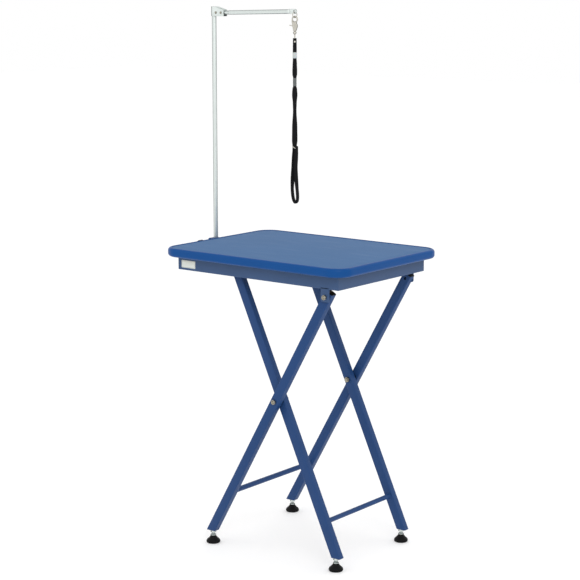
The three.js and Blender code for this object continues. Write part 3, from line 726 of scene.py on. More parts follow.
# How much of its full width the strap shows at a height in mm: it narrows where it is gripped.
STRAP_FULLNESS = (
    (1353, 0.72), (1346, 0.86), (1325, 0.9), (1304, 0.84), (1290, 0.98), (1270, 1.1), (1260, 1.06),
    (1252, 0.74), (1231, 0.74), (1223, 1.08), (1208, 1.24), (1186, 0.9), (1167, 0.8), (1120, 1.2),
    (1088, 1.26), (1070, 1.0), (1040, 1.08), (960, 1.1), (919, 1.1),
)
# Which way the strap's width points at a height in mm, in degrees from the X axis.
STRAP_FACES = ((1090, 38), (1055, 74), (990, 74), (955, 90))
RINGS_PER_SPAN = 8
STRAP_SIDES = 20  # points around the strap's section
LOOP_TOP = 1.055  # above this the returning side of the loop keeps its turn
STRAP_TUCK = 0.0025  # length over which an end is drawn in
FOLD_WIDTH = 0.0098
THREAD_RADIUS = 0.00028
STITCH_REACH = 0.004
STITCH_GAP = 0.0016


def between(table, at):
    """Reads a falling table of (height, value) pairs with a smooth step between them."""
    for (high, first), (low, second) in zip(table, table[1:]):
        if low <= at <= high:
            share = (high - at) / (high - low)
            share = share * share * (3 - 2 * share)
            return first + (second - first) * share
    return table[0][1] if at > table[0][0] else table[-1][1]


def curve_through(stops, steps):
    """Close points of a Catmull-Rom curve from the second stop to the last but one."""
    line = []
    for before, start, stop, after in zip(stops, stops[1:], stops[2:], stops[3:]):
        for step in range(steps):
            t = step / steps
            line.append(0.5 * (
                2 * start + (stop - before) * t
                + (2 * before - 5 * start + 4 * stop - after) * t ** 2
                + (3 * start - before - 3 * stop + after) * t ** 3))
    return line


def rounded_outline(corners, steps=4):
    """A closed outline that flows through its corners."""
    stops = [Vector(corner) for corner in corners]
    return [tuple(point) for point in curve_through([stops[-1], *stops, *stops[:2]], steps)]


def strap_line():
    """The strap's centreline as close points."""
    hang = middle("swivel_eye")
    stops = [Vector((hang.x + x * MM, hang.y, z * MM)) for x, z in STRAP_ROUTE]
    stops = [2 * stops[0] - stops[1], *stops, 2 * stops[-1] - stops[-2]]
    return [*curve_through(stops, RINGS_PER_SPAN), stops[-2]]


def section_points(half_width, half_thickness):
    """A soft flat oval."""
    points = []
    for step in range(STRAP_SIDES):
        angle = 2 * math.pi * step / STRAP_SIDES
        across, through = math.cos(angle), math.sin(angle)
        points.append((
            half_width * math.copysign(abs(across) ** 0.8, across),
            half_thickness * math.copysign(abs(through) ** 0.62, through)))
    return points


def strap_section(height, to_end):
    """The strap's section at a height, drawn in near its two ends."""
    fullness = between(STRAP_FULLNESS, height / MM)
    tuck = 0.35 + 0.65 * math.sqrt(min(1.0, to_end / STRAP_TUCK))
    return section_points(
        sizes().strap_width / 2 * fullness * tuck,
        sizes().strap_thickness / 2 * tuck * (1.25 - 0.25 * fullness))


def strap_rings(line, total):
    """Rings of points along the line, and where each point lies in the weave."""
    verts, lay = [], []
    run = 0.0
    last = len(line) - 1
    for index, point in enumerate(line):
        if index:
            run += (point - line[index - 1]).length
        tangent = (line[min(index + 1, last)] - line[max(index - 1, 0)]).normalized()
        height = point.z if index < len(line) / 2 else min(point.z, LOOP_TOP)
        face = math.radians(between(STRAP_FACES, height / MM))
        width = Vector((math.cos(face), math.sin(face), 0.0))
        width = (width - tangent * width.dot(tangent)).normalized()
        through = tangent.cross(width)
        for across, deep in strap_section(point.z, min(run, total - run)):
            verts.append(point + width * across + through * deep)
            lay.append((run, across if deep >= 0 else sizes().strap_width - across))
    return verts, lay


def ring_faces(rings):
    """Faces between neighbouring rings, and one at each end."""
    faces = []
    for start in range(0, (rings - 1) * STRAP_SIDES, STRAP_SIDES):
        for step in range(STRAP_SIDES):
            after = (step + 1) % STRAP_SIDES
            faces.append((
                start + step, start + after, start + STRAP_SIDES + after, start + STRAP_SIDES + step))
    faces.append(tuple(reversed(range(STRAP_SIDES))))
    faces.append(tuple(range((rings - 1) * STRAP_SIDES, rings * STRAP_SIDES)))
    return faces


def make_strap(line, total):
    """The strap as a flat cord along its line, with a layer that its weave follows."""
    verts, lay = strap_rings(line, total)
    mesh = bpy.data.meshes.new("woven_noose_strap")
    mesh.from_pydata(verts, [], ring_faces(len(line)))
    layer = mesh.uv_layers.new(name="lay")
    for loop in mesh.loops:
        layer.data[loop.index].uv = lay[loop.vertex_index]
    piece = bpy.data.objects.new("woven_noose_strap", mesh)
    bpy.context.scene.collection.objects.link(piece)
    edit(piece)
    close_up(piece)
    return deliver(piece, "woven_noose_strap", "noose", "webbing", "noose_strap")


def folded_end(at, face, bottom, length, depth):
    """A short doubled end of strap, round at both ends, that wraps a bar or ring."""
    half = depth / 2
    outline = arc(0, length - half, half, 0, 180, 10) + arc(0, half, half, 180, 360, 10)
    piece = soften(outlined(outline, FOLD_WIDTH), 0.0009, 3, 30)
    settle(piece, (0, 0, -FOLD_WIDTH / 2))
    settle(piece, (0, 0, 0), (QUARTER, 0, QUARTER))
    return settle(piece, (at.x, at.y, bottom), (0, 0, face))


def sewn_rows(piece, at, face, bottom, out):
    """Two rows of thread across both faces of a folded end, joined to it."""
    bars = []
    for row in range(2):
        for side in (-1, 1):
            bar = rod(THREAD_RADIUS, (-STITCH_REACH, side * out, 0), (STITCH_REACH, side * out, 0), 8)
            bars.append(settle(bar, (at.x, at.y, bottom + row * STITCH_GAP), (0, 0, face)))
    return join(piece, *bars)


def add_lay(piece):
    """Gives a folded end the same weave layout as the strap."""
    layer = piece.data.uv_layers.get("lay") or piece.data.uv_layers.new(name="lay")
    for loop in piece.data.loops:
        point = piece.data.vertices[loop.vertex_index].co
        layer.data[loop.index].uv = (point.z, point.x * math.cos(STRAP_FACE) + point.y * math.sin(STRAP_FACE))
    return piece


def sewn_end(name, at, face, bottom, length, depth, first_row):
    piece = folded_end(at, face, bottom, length, depth)
    piece = add_lay(sewn_rows(piece, at, face, bottom + first_row, depth / 2))
    return deliver(piece, name, "noose", "webbing")


def make_strap_rivet():
    """A domed head on each side of the strap's fold."""
    dome = [
        (0.0009, 0.0), (0.0026, 0.0), (0.0026, 0.0004), (0.0022, 0.001), (0.0013, 0.0014),
        (0.0006, 0.0015)]
    heads = []
    for turn in (0, math.pi):
        head = settle(turned(dome, 32), (0, 0, 0.0031))
        heads.append(settle(head, (0, 0, 0), (QUARTER + turn, 0, 0)))
    rivet = settle(join(*heads), middle("strap_rivet"), (0, 0, STRAP_FACE))
    return deliver(rivet, "domed_strap_rivet", "noose", "nickel", "strap_rivet")


def moulded_band(length, width, at):
    """A low moulded band around a flat sleeve."""
    band = rounded_slab(length + 0.0006, width + 0.0006, 0.0027, at - 0.0007, at + 0.0007, 6)
    return soften(band, 0.0003, 2)


def make_keeper():
    low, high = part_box("strap_keeper")
    length, width = 0.0116, 0.0058
    sleeve = soften(rounded_slab(length, width, 0.0024, low.z, high.z, 6), 0.0006)
    bands = [moulded_band(length, width, low.z + share * (high.z - low.z)) for share in (0.2, 0.8)]
    keeper = hung(join(sleeve, *bands), STRAP_FACE)
    return deliver(keeper, "sleeve_keeper", "noose", "clear_plastic", "strap_keeper")


def make_slider():
    low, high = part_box("noose_slider")
    ribs = 7
    pitch = (high.z - low.z) / ribs
    bands = []
    for rib in range(ribs):
        band = rounded_slab(0.0101, 0.0062, 0.0026, low.z + rib * pitch, low.z + (rib + 1) * pitch, 6)
        bands.append(soften(band, pitch * 0.36, 3))
    slider = hung(join(*bands), STRAP_FACE)
    return deliver(slider, "ribbed_slider", "slider", "grey_plastic", "noose_slider")


def make_slip_ring():
    slip = hoop(RING_RADIUS, sizes().ring_wire, middle("slip_ring"), (0, math.radians(35), 0))
    return deliver(slip, "slip_ring_wire", "noose", "nickel", "slip_ring")


def make_noose():
    """The strap with all that is fixed to it or slides on it."""
    hang = middle("swivel_eye")
    line = strap_line()
    total = sum((b - a).length for a, b in zip(line, line[1:]))
    strap = make_strap(line, total)
    fold = sewn_end("sewn_strap_fold", hang, STRAP_FACE, 1.3355, 0.0205, 0.0064, 0.0025)
    rivet = make_strap_rivet()
    keeper = make_keeper()
    slider = make_slider()
    slip = make_slip_ring()
    return_at = Vector((hang.x + 0.0052, hang.y, 0))
    end_fold = sewn_end("sewn_strap_end", return_at, LOOP_FACE, 1.0565, 0.0165, 0.0062, 0.003)


# ---------- Tabletop ----------

RIM_CORNER = 0.05
RIM_LAND = 0.0095  # width of the rim's flat top and bottom
RIM_CREST = 0.0019  # how far the rim stands over the frame's rim
MAT_CORNER = 0.0405
MAT_GAP = 0.0015
TAB_HALF = 0.013  # half the width of a hinge tab
CLAMP_FLANGE = 0.003


def make_rim():
    low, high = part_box("edge_rim")
    centre = (low + high) / 2
    piece = rounded_slab(high.x - low.x, high.y - low.y, RIM_CORNER, low.z, high.z + RIM_CREST, 18)
    edit(piece)
    pick(piece, "EDGE", lambda edge: abs(edge.verts[0].co.z - edge.verts[1].co.z) < MM / 10)
    bpy.ops.mesh.bevel(offset=sizes().rim_round, segments=8, affect="EDGES")
    for top in (True, False):
        pick(piece, "FACE", lambda face: len(face.verts) > 20 and (face.normal.z > 0.9) == top
             and abs(face.normal.z) > 0.9)
        bpy.ops.mesh.inset(thickness=RIM_LAND - sizes().rim_round)
        bpy.ops.mesh.delete(type="FACE")
    pick(piece, "EDGE", lambda edge: edge.is_boundary)
    bpy.ops.mesh.bridge_edge_loops()
    close_up(piece)
    settle(piece, (centre.x, centre.y, 0))
    deliver(piece, "moulded_rim", "tabletop", "moulded_edge", "edge_rim")


def make_mat():
    low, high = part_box("top_mat")
    centre = (low + high) / 2
    length, width = high.x - low.x - 2 * MAT_GAP, high.y - low.y - 2 * MAT_GAP
    piece = rounded_slab(length, width, MAT_CORNER, low.z, high.z, 18)
    edit(piece)
    pick(piece, "EDGE", lambda edge: min(vert.co.z for vert in edge.verts) > high.z - MM / 10)
    bpy.ops.mesh.bevel(offset=sizes().mat_round, segments=4, affect="EDGES")
    close_up(piece)
    settle(piece, (centre.x, centre.y, 0))
    deliver(piece, "pebbled_mat", "tabletop", "mat", "top_mat")


def mitred_bar(length, distance, low, high, thickness):
    """A rail along X with its outer face at -Y, cut at 45 degrees at both ends."""
    piece = box_piece((-length / 2, -distance, low), (length / 2, thickness - distance, high))
    edit(piece)
    for side in (-1, 1):
        bpy.ops.mesh.select_all(action="SELECT")
        bpy.ops.mesh.bisect(
            plane_co=(side * length / 2, -distance, 0), plane_no=(side, 1, 0),
            use_fill=True, clear_outer=True)
    pick(piece, "EDGE", lambda edge: abs((edge.verts[0].co - edge.verts[1].co).normalized().x) > 0.99)
    bpy.ops.mesh.bevel(offset=sizes().rail_corner, segments=3, affect="EDGES")
    return close_up(piece)


def hinge_tab(side, face, low, high):
    """The plate that hangs from a long rail and carries the hinge bolt."""
    radius = 0.0055
    reach = TAB_HALF - radius
    corners = arc(-reach, low + radius, radius, 180, 270) + arc(reach, low + radius, radius, 270, 360)
    plate = upright([(-TAB_HALF, high), *corners, (TAB_HALF, high)], PLATE)
    soften(plate, sizes().plate_round, 2)
    return settle(plate, (middle("front_hinge_bolt").x, face + (PLATE if side < 0 else 0), 0))


def deliver_rail(piece, name):
    deliver(piece, f"{name}_apron_rail", "tabletop", "powder_coat", f"{name}_rail", look="apron_coat")


def make_rails():
    """Two long rails with hinge tabs and two short ones, mitred at the corners."""
    low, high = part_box("front_rail")
    side_low, side_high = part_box("left_rail")
    apron_low = side_low.z
    length = high.x - side_low.x
    width = side_high.y - side_low.y + 0.0006
    centre_x = (side_low.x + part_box("right_rail")[1].x) / 2
    thickness = side_high.x - side_low.x
    tab_left = middle("front_hinge_bolt").x - TAB_HALF
    for name, side in PAIRS:
        straight = mitred_bar(length, width / 2, apron_low, high.z, thickness)
        settle(straight, (0, 0, 0), (0, 0, 0 if side < 0 else math.pi))
        settle(straight, (centre_x, 0, 0))
        tab = hinge_tab(side, side * width / 2 - (PLATE if side > 0 else 0), low.z, apron_low + 0.004)
        bead_y = side * (width / 2 - 0.0032)
        bead = rod(
            0.0013, (tab_left, bead_y, apron_low), (tab_left + 2 * TAB_HALF, bead_y, apron_low), 12)
        deliver_rail(join(straight, tab, bead), name)
    for name, turn in (("left", -QUARTER), ("right", QUARTER)):
        piece = mitred_bar(width, length / 2, apron_low, high.z, thickness)
        settle(piece, (0, 0, 0), (0, 0, turn))
        deliver_rail(settle(piece, (centre_x, 0, 0)), name)


def make_saddles():
    """The two hooked brackets that hold the crossbar under the board."""
    bar = middle("crossbar")
    reach = 0.0086
    wall = 0.009
    for name, _ in PAIRS:
        low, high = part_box(f"{name}_bar_saddle")
        flange = high.z - PLATE
        seat = arc(bar.x, bar.z, reach, 180, 112, 8)
        outline = [
            (low.x, high.z), (low.x, flange), (bar.x - reach - wall, flange),
            (bar.x - reach - wall, low.z), (bar.x - reach, low.z), *seat,
            (seat[-1][0], flange), (high.x, flange), (high.x, high.z)]
        piece = soften(upright(outline, high.y - low.y, high.y), sizes().plate_round, 2)
        screws = [
            settle(pan_head(), (x, (low.y + high.y) / 2, flange), (math.pi, 0, 0))
            for x in (low.x + 0.009, high.x - 0.009)]
        piece = join(piece, *screws)
        deliver(piece, f"{name}_crossbar_saddle", "tabletop", "powder_coat", f"{name}_bar_saddle")


def pan_head():
    """A small pan-head screw with a crossed slot, that stands on its seat."""
    profile = [(0.0038, -0.0002), (0.0038, 0.0006), (0.0033, 0.0015), (0.0022, 0.0021), (0.0008, 0.0023)]
    head = turned(profile, 28)
    long, short, floor, above = 0.0022, 0.0004, 0.0012, 0.003
    slots = [box_piece((-x, -y, floor), (x, y, above)) for x, y in ((long, short), (short, long))]
    return carve(head, *slots)


def make_label():
    low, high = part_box("label_plate")
    centre = (low + high) / 2
    piece = rounded_slab(high.x - low.x, high.z - low.z, 0.0016, 0, 0.0005, 6)
    soften(piece, 0.00012, 2)
    settle(piece, (centre.x, high.y, centre.z), (QUARTER, 0, 0))
    deliver(piece, "blank_maker_label", "tabletop", "label", "label_plate")


# ---------- Legs ----------


def leg_bar(lean, overrun, y):
    """A leg tube through the pivot, cut level at the foot."""
    pivot = middle("front_pivot_bolt")
    low = (-LEG_WIDE / 2, -LEG_DEEP / 2, -1.5 * PIVOT_TO_TOP)
    piece = box_piece(low, (LEG_WIDE / 2, LEG_DEEP / 2, PIVOT_TO_TOP + overrun))
    edit(piece)
    pick(piece, "EDGE", lambda edge: abs((edge.verts[0].co - edge.verts[1].co).normalized().z) > 0.99)
    bpy.ops.mesh.bevel(offset=sizes().tube_corner, segments=5, affect="EDGES")
    close_up(piece)
    settle(piece, (0, 0, 0), (0, lean, 0))
    settle(piece, (pivot.x, y, pivot.z))
    edit_all(piece)
    bpy.ops.mesh.bisect(plane_co=(0, 0, LEG_CUT), plane_no=(0, 0, 1), use_fill=True, clear_inner=True)
    close_up(piece)
    return soften(piece, 0.0004, 2, 50)


def leg_end_plug(y):
    """The moulded plug in the open top of an outer leg: a domed head on ribs."""
    pivot = middle("front_pivot_bolt")
    top = PIVOT_TO_TOP + OUTER_OVERRUN
    head = rounded_slab(LEG_WIDE - 0.0002, LEG_DEEP - 0.0002, 0.0024, top, top + 0.0018, 5)
    edit(head)
    pick(head, "FACE", lambda face: face.normal.z > 0.9)
    for rise, wide, deep in ((0.0007, 0.9, 0.88), (0.0003, 0.8, 0.78)):
        raise_by(rise)
        widen(wide, deep, top)
    close_up(head)
    ribs = [
        box_piece((-0.0105, rib_y, top - 0.011), (0.0105, rib_y + MM, top))
        for rib_y in (-0.0076, -0.0005, 0.0066)]
    plug = join(head, *ribs)
    settle(plug, (0, 0, 0), (0, OUTER_LEAN, 0))
    return settle(plug, (pivot.x, y, pivot.z))


def make_legs():
    hinge = middle("front_hinge_bolt")
    for name, side in PAIRS:
        outer_y = middle(f"{name}_outer_leg").y
        inside = outer_y - side * LEG_DEEP / 2
        near = (hinge.x, inside - side * 0.004, hinge.z)
        far = (hinge.x, inside + side * 0.0155, hinge.z)
        drill = rod(BORE_RADIUS, near, far, 32)
        piece = carve(leg_bar(OUTER_LEAN, OUTER_OVERRUN, outer_y), drill)
        deliver(piece, f"{name}_outer_leg_tube", "outer_frame", "powder_coat", f"{name}_outer_leg")
        piece = leg_bar(INNER_LEAN, INNER_OVERRUN, middle(f"{name}_inner_leg").y)
        deliver(piece, f"{name}_inner_leg_tube", "inner_frame", "powder_coat", f"{name}_inner_leg")
        plug = leg_end_plug(outer_y)
        deliver(plug, f"{name}_leg_end_plug", "outer_frame", "black_plastic", f"{name}_leg_plug")


def welded_tube(node, wall):
    """A round cross tube along Y whose ends spread into a weld at the legs."""
    low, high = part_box(node)
    centre = (low + high) / 2
    radius = (high.z - low.z) / 2
    reach = wall - 0.0002
    bead = 0.0022
    profile = arc(radius + bead, bead - reach, bead, 270, 180, 5)
    profile += [(r, -z) for r, z in reversed(profile)]
    return settle(turned(profile), (centre.x, 0, centre.z), (QUARTER, 0, 0))


def make_stretchers():
    for node, name, frame_name in (
        ("outer_stretcher", "outer_cross_tube", "outer"),
        ("inner_stretcher", "inner_cross_tube", "inner"),
        ("crossbar", "top_crossbar", "inner"),
    ):
        wall = abs(middle(f"front_{frame_name}_leg").y) - LEG_DEEP / 2
        deliver(welded_tube(node, wall), name, f"{frame_name}_frame", "powder_coat", node)


# ---------- Fasteners ----------


def hexagon(height, corner=0.0075, chamfer=0.0008, both=True):
    """A hexagon that stands on its base, with its corners chamfered round."""
    narrow = corner * math.cos(math.radians(30)) - chamfer * 0.2
    wide = corner + 0.0002
    blank = rod(corner, (0, 0, 0), (0, 0, height), 6)
    low = [(narrow, -0.0001), (wide, chamfer)] if both else [(corner + MM, -0.0001)]
    cone = turned([*low, (wide, height - chamfer), (narrow, height + 0.0001)], 64)
    return carve(blank, cone, operation="INTERSECT")


def bolt_head(height):
    """A hexagon head with a dish in its top."""
    dish = turned([(0.0028, height - 0.0022), (0.0036, height - 0.0012), (0.0044, height + 0.0002)], 40)
    return carve(hexagon(height, 0.0069, 0.0009, both=False), dish)


def thread(low, high):
    """A threaded length: ridges one pitch apart, with a chamfered tip."""
    radius = SHANK_RADIUS
    pitch = sizes().thread_pitch
    depth = 0.0006
    turns = max(1, int((high - low) / pitch) - 1)
    profile = [(radius - depth, low)]
    for turn in range(turns):
        start = low + turn * pitch
        profile += [
            (radius, start + pitch * 0.4), (radius, start + pitch * 0.55), (radius - depth, start + pitch)]
    profile += [(radius - depth, high - 0.0006), (radius - 2 * depth, high)]
    return turned(profile, 28)


def shank_length(node):
    """How much of a bolt along Y is left beside its head."""
    return extent(node).y - HEAD_HEIGHT


def hex_bolt(node, side, *more):
    """A bolt along Y, its head facing that side."""
    head_at = shank_length(node)
    head = settle(bolt_head(HEAD_HEIGHT), (0, 0, head_at))
    return seated(join(head, thread(0, head_at + MM), *more), node, side)


def hex_nut(node, side):
    return seated(hexagon(extent(node).y), node, side)


def make_pivots():
    """The bolt, the nut and the spacer at each crossing of the legs."""
    bore, edge, rim = BORE_RADIUS, 0.0092, 0.01
    for name, side in PAIRS:
        bolt = hex_bolt(f"{name}_pivot_bolt", side)
        deliver(bolt, f"{name}_scissor_bolt", "outer_frame", "zinc", f"{name}_pivot_bolt")
        nut = hex_nut(f"{name}_pivot_nut", side)
        deliver(nut, f"{name}_scissor_nut", "outer_frame", "zinc", f"{name}_pivot_nut")
        thick = extent(f"{name}_pivot_spacer").y
        ring = turned(
            [(bore, 0), (edge, 0), (rim, 0.0006), (rim, thick - 0.0006), (edge, thick), (bore, thick),
             (bore, 0)], hollow=True)
        spacer = seated(ring, f"{name}_pivot_spacer", side)
        deliver(spacer, f"{name}_nylon_washer", "outer_frame", "black_plastic", f"{name}_pivot_spacer")


def make_hinges():
    """The shouldered bolt and the nut at the top of each outer leg."""
    edge, rim = 0.0085, 0.009
    for name, side in PAIRS:
        high = shank_length(f"{name}_hinge_bolt") - 0.0039
        low = high - 0.0023
        shoulder = turned([(edge, low), (rim, low + 0.0005), (rim, high - 0.0005), (edge, high)])
        bolt = hex_bolt(f"{name}_hinge_bolt", side, shoulder)
        deliver(bolt, f"{name}_hinge_screw", "outer_frame", "zinc", f"{name}_hinge_bolt")
        nut = hex_nut(f"{name}_hinge_nut", side)
        deliver(nut, f"{name}_hinge_lock_nut", "outer_frame", "zinc", f"{name}_hinge_nut")


# ---------- Levelling feet ----------


def foot_pad():
    """A moulded bell with a soft skirt and a socket for the stem."""
    skirt, neck, height = 0.0185, 0.0078, 0.02
    profile = [(0.0125, 0.0008), (0.0135, 0.0), *arc(skirt - 0.0022, 0.0022, 0.0022, -90, 0, 5)]
    profile += arc(skirt - 0.0045, 0.0052, 0.0045, 0, 48, 5)
    profile += [(0.0128, 0.0122), (0.0105, 0.0148), (0.0088, 0.0168), (neck, 0.0184)]
    profile += arc(neck - 0.0009, height - 0.0009, 0.0009, 10, 90, 4)
    profile += [(0.0052, height), (0.005, 0.016)]
    return turned(profile)


def foot_ribs():
    """Fine upright ribs around the skirt, for turning the foot by hand."""
    rib = soften(rod(0.0005, (0.0184, 0, 0.0022), (0.0184, 0, 0.0055), 8), 0.0003, 2)
    ribs = [rib]
    count = 36
    for step in range(1, count):
        ribs.append(settle(copy_of(rib), (0, 0, 0), (0, 0, 2 * math.pi * step / count)))
    return join(*ribs)


def foot_stem():
    """A threaded stem with a collar over the pad."""
    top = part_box(f"{FEET[0]}_foot_stem")[1].z
    collar = turned([
        (0.004, 0.0203), (0.0066, 0.0203), (0.0076, 0.0209), (0.0076, 0.022), (0.0066, 0.0227),
        (0.0042, 0.0231)])
    return join(thread(0.0165, top), collar)


def foot_nut():
    low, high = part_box(f"{FEET[0]}_foot_nut")
    return settle(hexagon(high.z - low.z), (0, 0, low.z))


def make_feet():
    pad, stem, nut = join(foot_pad(), foot_ribs()), foot_stem(), foot_nut()
    for name in FEET:
        foot = f"{name}_foot"
        at = middle(f"{foot}_pad")
        place = (at.x, at.y, 0)
        leg_frame = "outer_frame" if "outer" in name else "inner_frame"
        turn = (0, 0, math.radians(17 * len(name)))
        piece = settle(copy_of(pad), place)
        deliver(piece, f"{name}_levelling_pad", foot, "black_plastic", f"{foot}_pad")
        piece = settle(copy_of(stem), place)
        deliver(piece, f"{name}_levelling_stem", foot, "zinc", f"{foot}_stem", look="chrome")
        piece = settle(copy_of(nut), place, turn)
        deliver(piece, f"{name}_lock_nut", leg_frame, "zinc", f"{foot}_nut", look="chrome")
    for spare in (pad, stem, nut):
        bpy.data.objects.remove(spare)


# ---------- Post and clamp ----------


def make_clamp():
    """The clamp block, with a web and a flange that is screwed to the left rail."""
    low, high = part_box("post_bracket")
    post = middle("post")
    knob = middle("clamp_knob")
    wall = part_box("left_rail")[0].x
    block = box_piece((low.x, post.y - 0.0225, low.z), (low.x + 0.018, high.y - 0.02, high.z))
    soften(block, 0.0018, 4)
    carve(
        block,
        rod(0.0063, (post.x, post.y, low.z - 0.01), (post.x, post.y, high.z + 0.01)),
        rod(BORE_RADIUS, (post.x, low.y, knob.z), (post.x, post.y, knob.z), 32),
    )
    web = soften(box_piece((low.x + 0.016, post.y - 0.0135, 0.752), (wall, post.y + 0.0045, 0.776)), 0.001)
    flange = soften(box_piece((wall - CLAMP_FLANGE, low.y, 0.75), (wall, high.y, 0.778)), 0.0008)
    screws = [
        settle(pan_head(), (wall - CLAMP_FLANGE, y, 0.764), (0, -QUARTER, 0))
        for y in (low.y + 0.01, high.y - 0.01)]
    piece = join(block, web, flange, *screws)
    deliver(piece, "post_clamp_block", "tabletop", "powder_coat", "post_bracket")


def lobed_grip(radius, depth, lobes=6):
    """A round grip with a scallop between each two lobes."""
    grip = rod(radius, (0, 0, 0.005), (0, 0, depth), 96)
    reach = radius + 0.0058
    scallops = []
    for lobe in range(lobes):
        angle = 2 * math.pi * (lobe + 0.5) / lobes
        x, y = reach * math.cos(angle), reach * math.sin(angle)
        scallops.append(rod(0.0078, (x, y, -0.01), (x, y, 0.04), 40))
    return soften(carve(grip, *scallops), 0.0014, 4)


def make_knob():
    size = extent("clamp_knob")
    depth = size.y
    grip = lobed_grip(size.z / 2, depth)
    hub = turned([(0.0085, 0), (0.009, 0.0005), (0.009, 0.006)])
    cap = turned([
        (0.0092, depth - 0.0003), (0.0092, depth + 0.0002), (0.0086, depth + 0.0006),
        (0.003, depth + 0.0008)])
    knob = seated(join(grip, hub, cap), "clamp_knob", -1)
    deliver(knob, "lobed_clamp_knob", "knob", "black_plastic", "clamp_knob")
    screw = seated(thread(0, extent("clamp_screw").y), "clamp_screw", 1)
    deliver(screw, "clamp_thumb_screw", "knob", "zinc", "clamp_screw")


def make_post():
    low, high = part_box("post")
    at = middle("post")
    outside, broken, inside = 0.006, 0.0056, 0.0048
    tube = turned(
        [(inside, low.z), (broken, low.z), (outside, low.z + 0.0004), (outside, high.z - 0.0004),
         (broken, high.z), (inside, high.z), (inside, low.z)], hollow=True)
    deliver(settle(tube, (at.x, at.y, 0)), "post_tube", "post_assembly", "chrome", "post")
    low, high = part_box("post_cap")
    cap = turned([
        (0.0042, low.z), (0.0054, low.z + 0.0003), (outside, low.z + MM), (outside, low.z + 0.0027),
        (0.0045, low.z + 0.0028), (0.0044, high.z - MM), (0.0036, high.z)])
    deliver(settle(cap, (at.x, at.y, 0)), "post_end_cap", "post_foot", "black_plastic", "post_cap")


# ---------- Folding arm ----------


def make_arm_bracket():
    """A strip folded round the post, with its top edge cut to a slope."""
    post = middle("post")
    low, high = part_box("arm_bracket")
    outer = (high.y - low.y) / 2
    inner = outer - 0.0015
    outline = [
        (BRACKET_REACH, -outer), *arc(0, 0, outer, 270, 90, 16), (BRACKET_REACH, outer),
        (BRACKET_REACH, inner), *arc(0, 0, inner, 90, 270, 16), (BRACKET_REACH, -inner)]
    piece = outlined(outline, high.z - low.z)
    wedge = box_piece((0, -0.03, 0), (0.06, 0.03, 0.03))
    settle(wedge, (0.008, 0, high.z - low.z), (0, math.atan2(9, 33), 0))
    soften(carve(piece, wedge), 0.00035, 2)
    settle(piece, (post.x, post.y, low.z))
    deliver(piece, "folded_arm_bracket", "post_assembly", "zinc", "arm_bracket", look="chrome")


def make_rivets():
    """The rivets through the bracket: one beside the post, one that the arm folds on."""
    for node, name in (("bracket_rivet", "bracket_cross_rivet"), ("arm_rivet", "arm_pivot_rivet")):
        half = extent(node).y / 2
        dome = [
            (0.0024, half - 0.0017), (0.0034, half - 0.0016), (0.0034, half - 0.0011),
            (0.0029, half - 0.0003), (0.0019, half), (0.0014, half), (0.001, half - 0.0007)]
        profile = [(r, -z) for r, z in reversed(dome)] + dome
        rivet = settle(turned(profile, 36), middle(node), (QUARTER, 0, 0))
        deliver(rivet, name, "post_assembly", "zinc", node)


def make_arm_stop():
    half = extent("arm_stop").y / 2
    tip, side = 0.0013, 0.0019
    pin = turned([(tip, -half), (side, -half + 0.0006), (side, half - 0.0006), (tip, half)], 24)
    settle(pin, middle("arm_stop"), (QUARTER, 0, 0))
    deliver(pin, "arm_rest_pin", "post_assembly", "black_plastic", "arm_stop")


def arm_tube():
    """A tube with a rolled collar, pressed flat towards its far end."""
    radius, neck, collar = 0.0057, 0.0052, 0.0059
    tube = turned([
        (neck - MM, -0.007), (neck, -0.0065), (neck, 0.0245), (collar, 0.0255), (collar, 0.0275),
        (radius, 0.028), (radius, 0.2265)])
    edit(tube)
    pick(tube, "FACE", lambda face: face.normal.z > 0.9 and face.calc_center_median().z > 0.226)
    for rise, deep, tall in (
        (0.002, 0.86, 1.0), (0.002, 0.66, 1.03), (0.002, 0.62, 1.05), (0.0015, 0.82, 1.02),
    ):
        raise_by(rise)
        widen(tall, deep)
    return close_up(tube)


def arm_tongue():
    """The flattened end of the arm, with a rolled eye for the ring."""
    half, thickness, start = 0.0063, 0.004, 0.231
    outline = [(-half, start), *arc(0, ARM_LENGTH, half, 180, 0, 16), (half, start)]
    eye = settle(rod(0.0035, (0, 0, -0.01), (0, 0, 0.01), 40), (0, ARM_LENGTH, 0))
    tongue = soften(carve(outlined(outline, thickness), eye), 0.0008, 3)
    lips = [hoop(0.0038, 0.0005, (0, ARM_LENGTH, z), (0, 0, 0), 40, 8) for z in (0.0, thickness)]
    return settle(join(tongue, *lips), (0, thickness / 2, 0), (QUARTER, 0, 0))


def make_arm():
    arm = join(arm_tube(), arm_tongue())
    settle(arm, (0, 0, 0), (0, QUARTER, 0))
    settle(arm, (0, 0, 0), (0, -ARM_RISE, 0))
    settle(arm, middle("arm_rivet"))
    deliver(arm, "folding_arm_tube", "arm_assembly", "chrome", "arm", look="level_chrome")


# ---------- Ring, snap hook and swivel ----------

HOOK_LOOP = 0.0092  # outer radius of the snap hook's loop


def make_hanging_ring():
    place = middle("hanging_ring")
    ring = hoop(RING_RADIUS, sizes().ring_wire, place, (QUARTER, 0, RING_TURN), 64, 16)
    deliver(ring, "hanging_ring_wire", "ring", "nickel", "hanging_ring")


def hook_loop(eye):
    """The open loop of the hook, around a height."""
    loop = hoop(0.0073, 0.0019, (0, 0, eye), (QUARTER, 0, 0), 64, 16)
    return carve(loop, box_piece((-0.012, -0.005, eye - 0.0056), (-0.0046, 0.005, eye + 0.0028)))


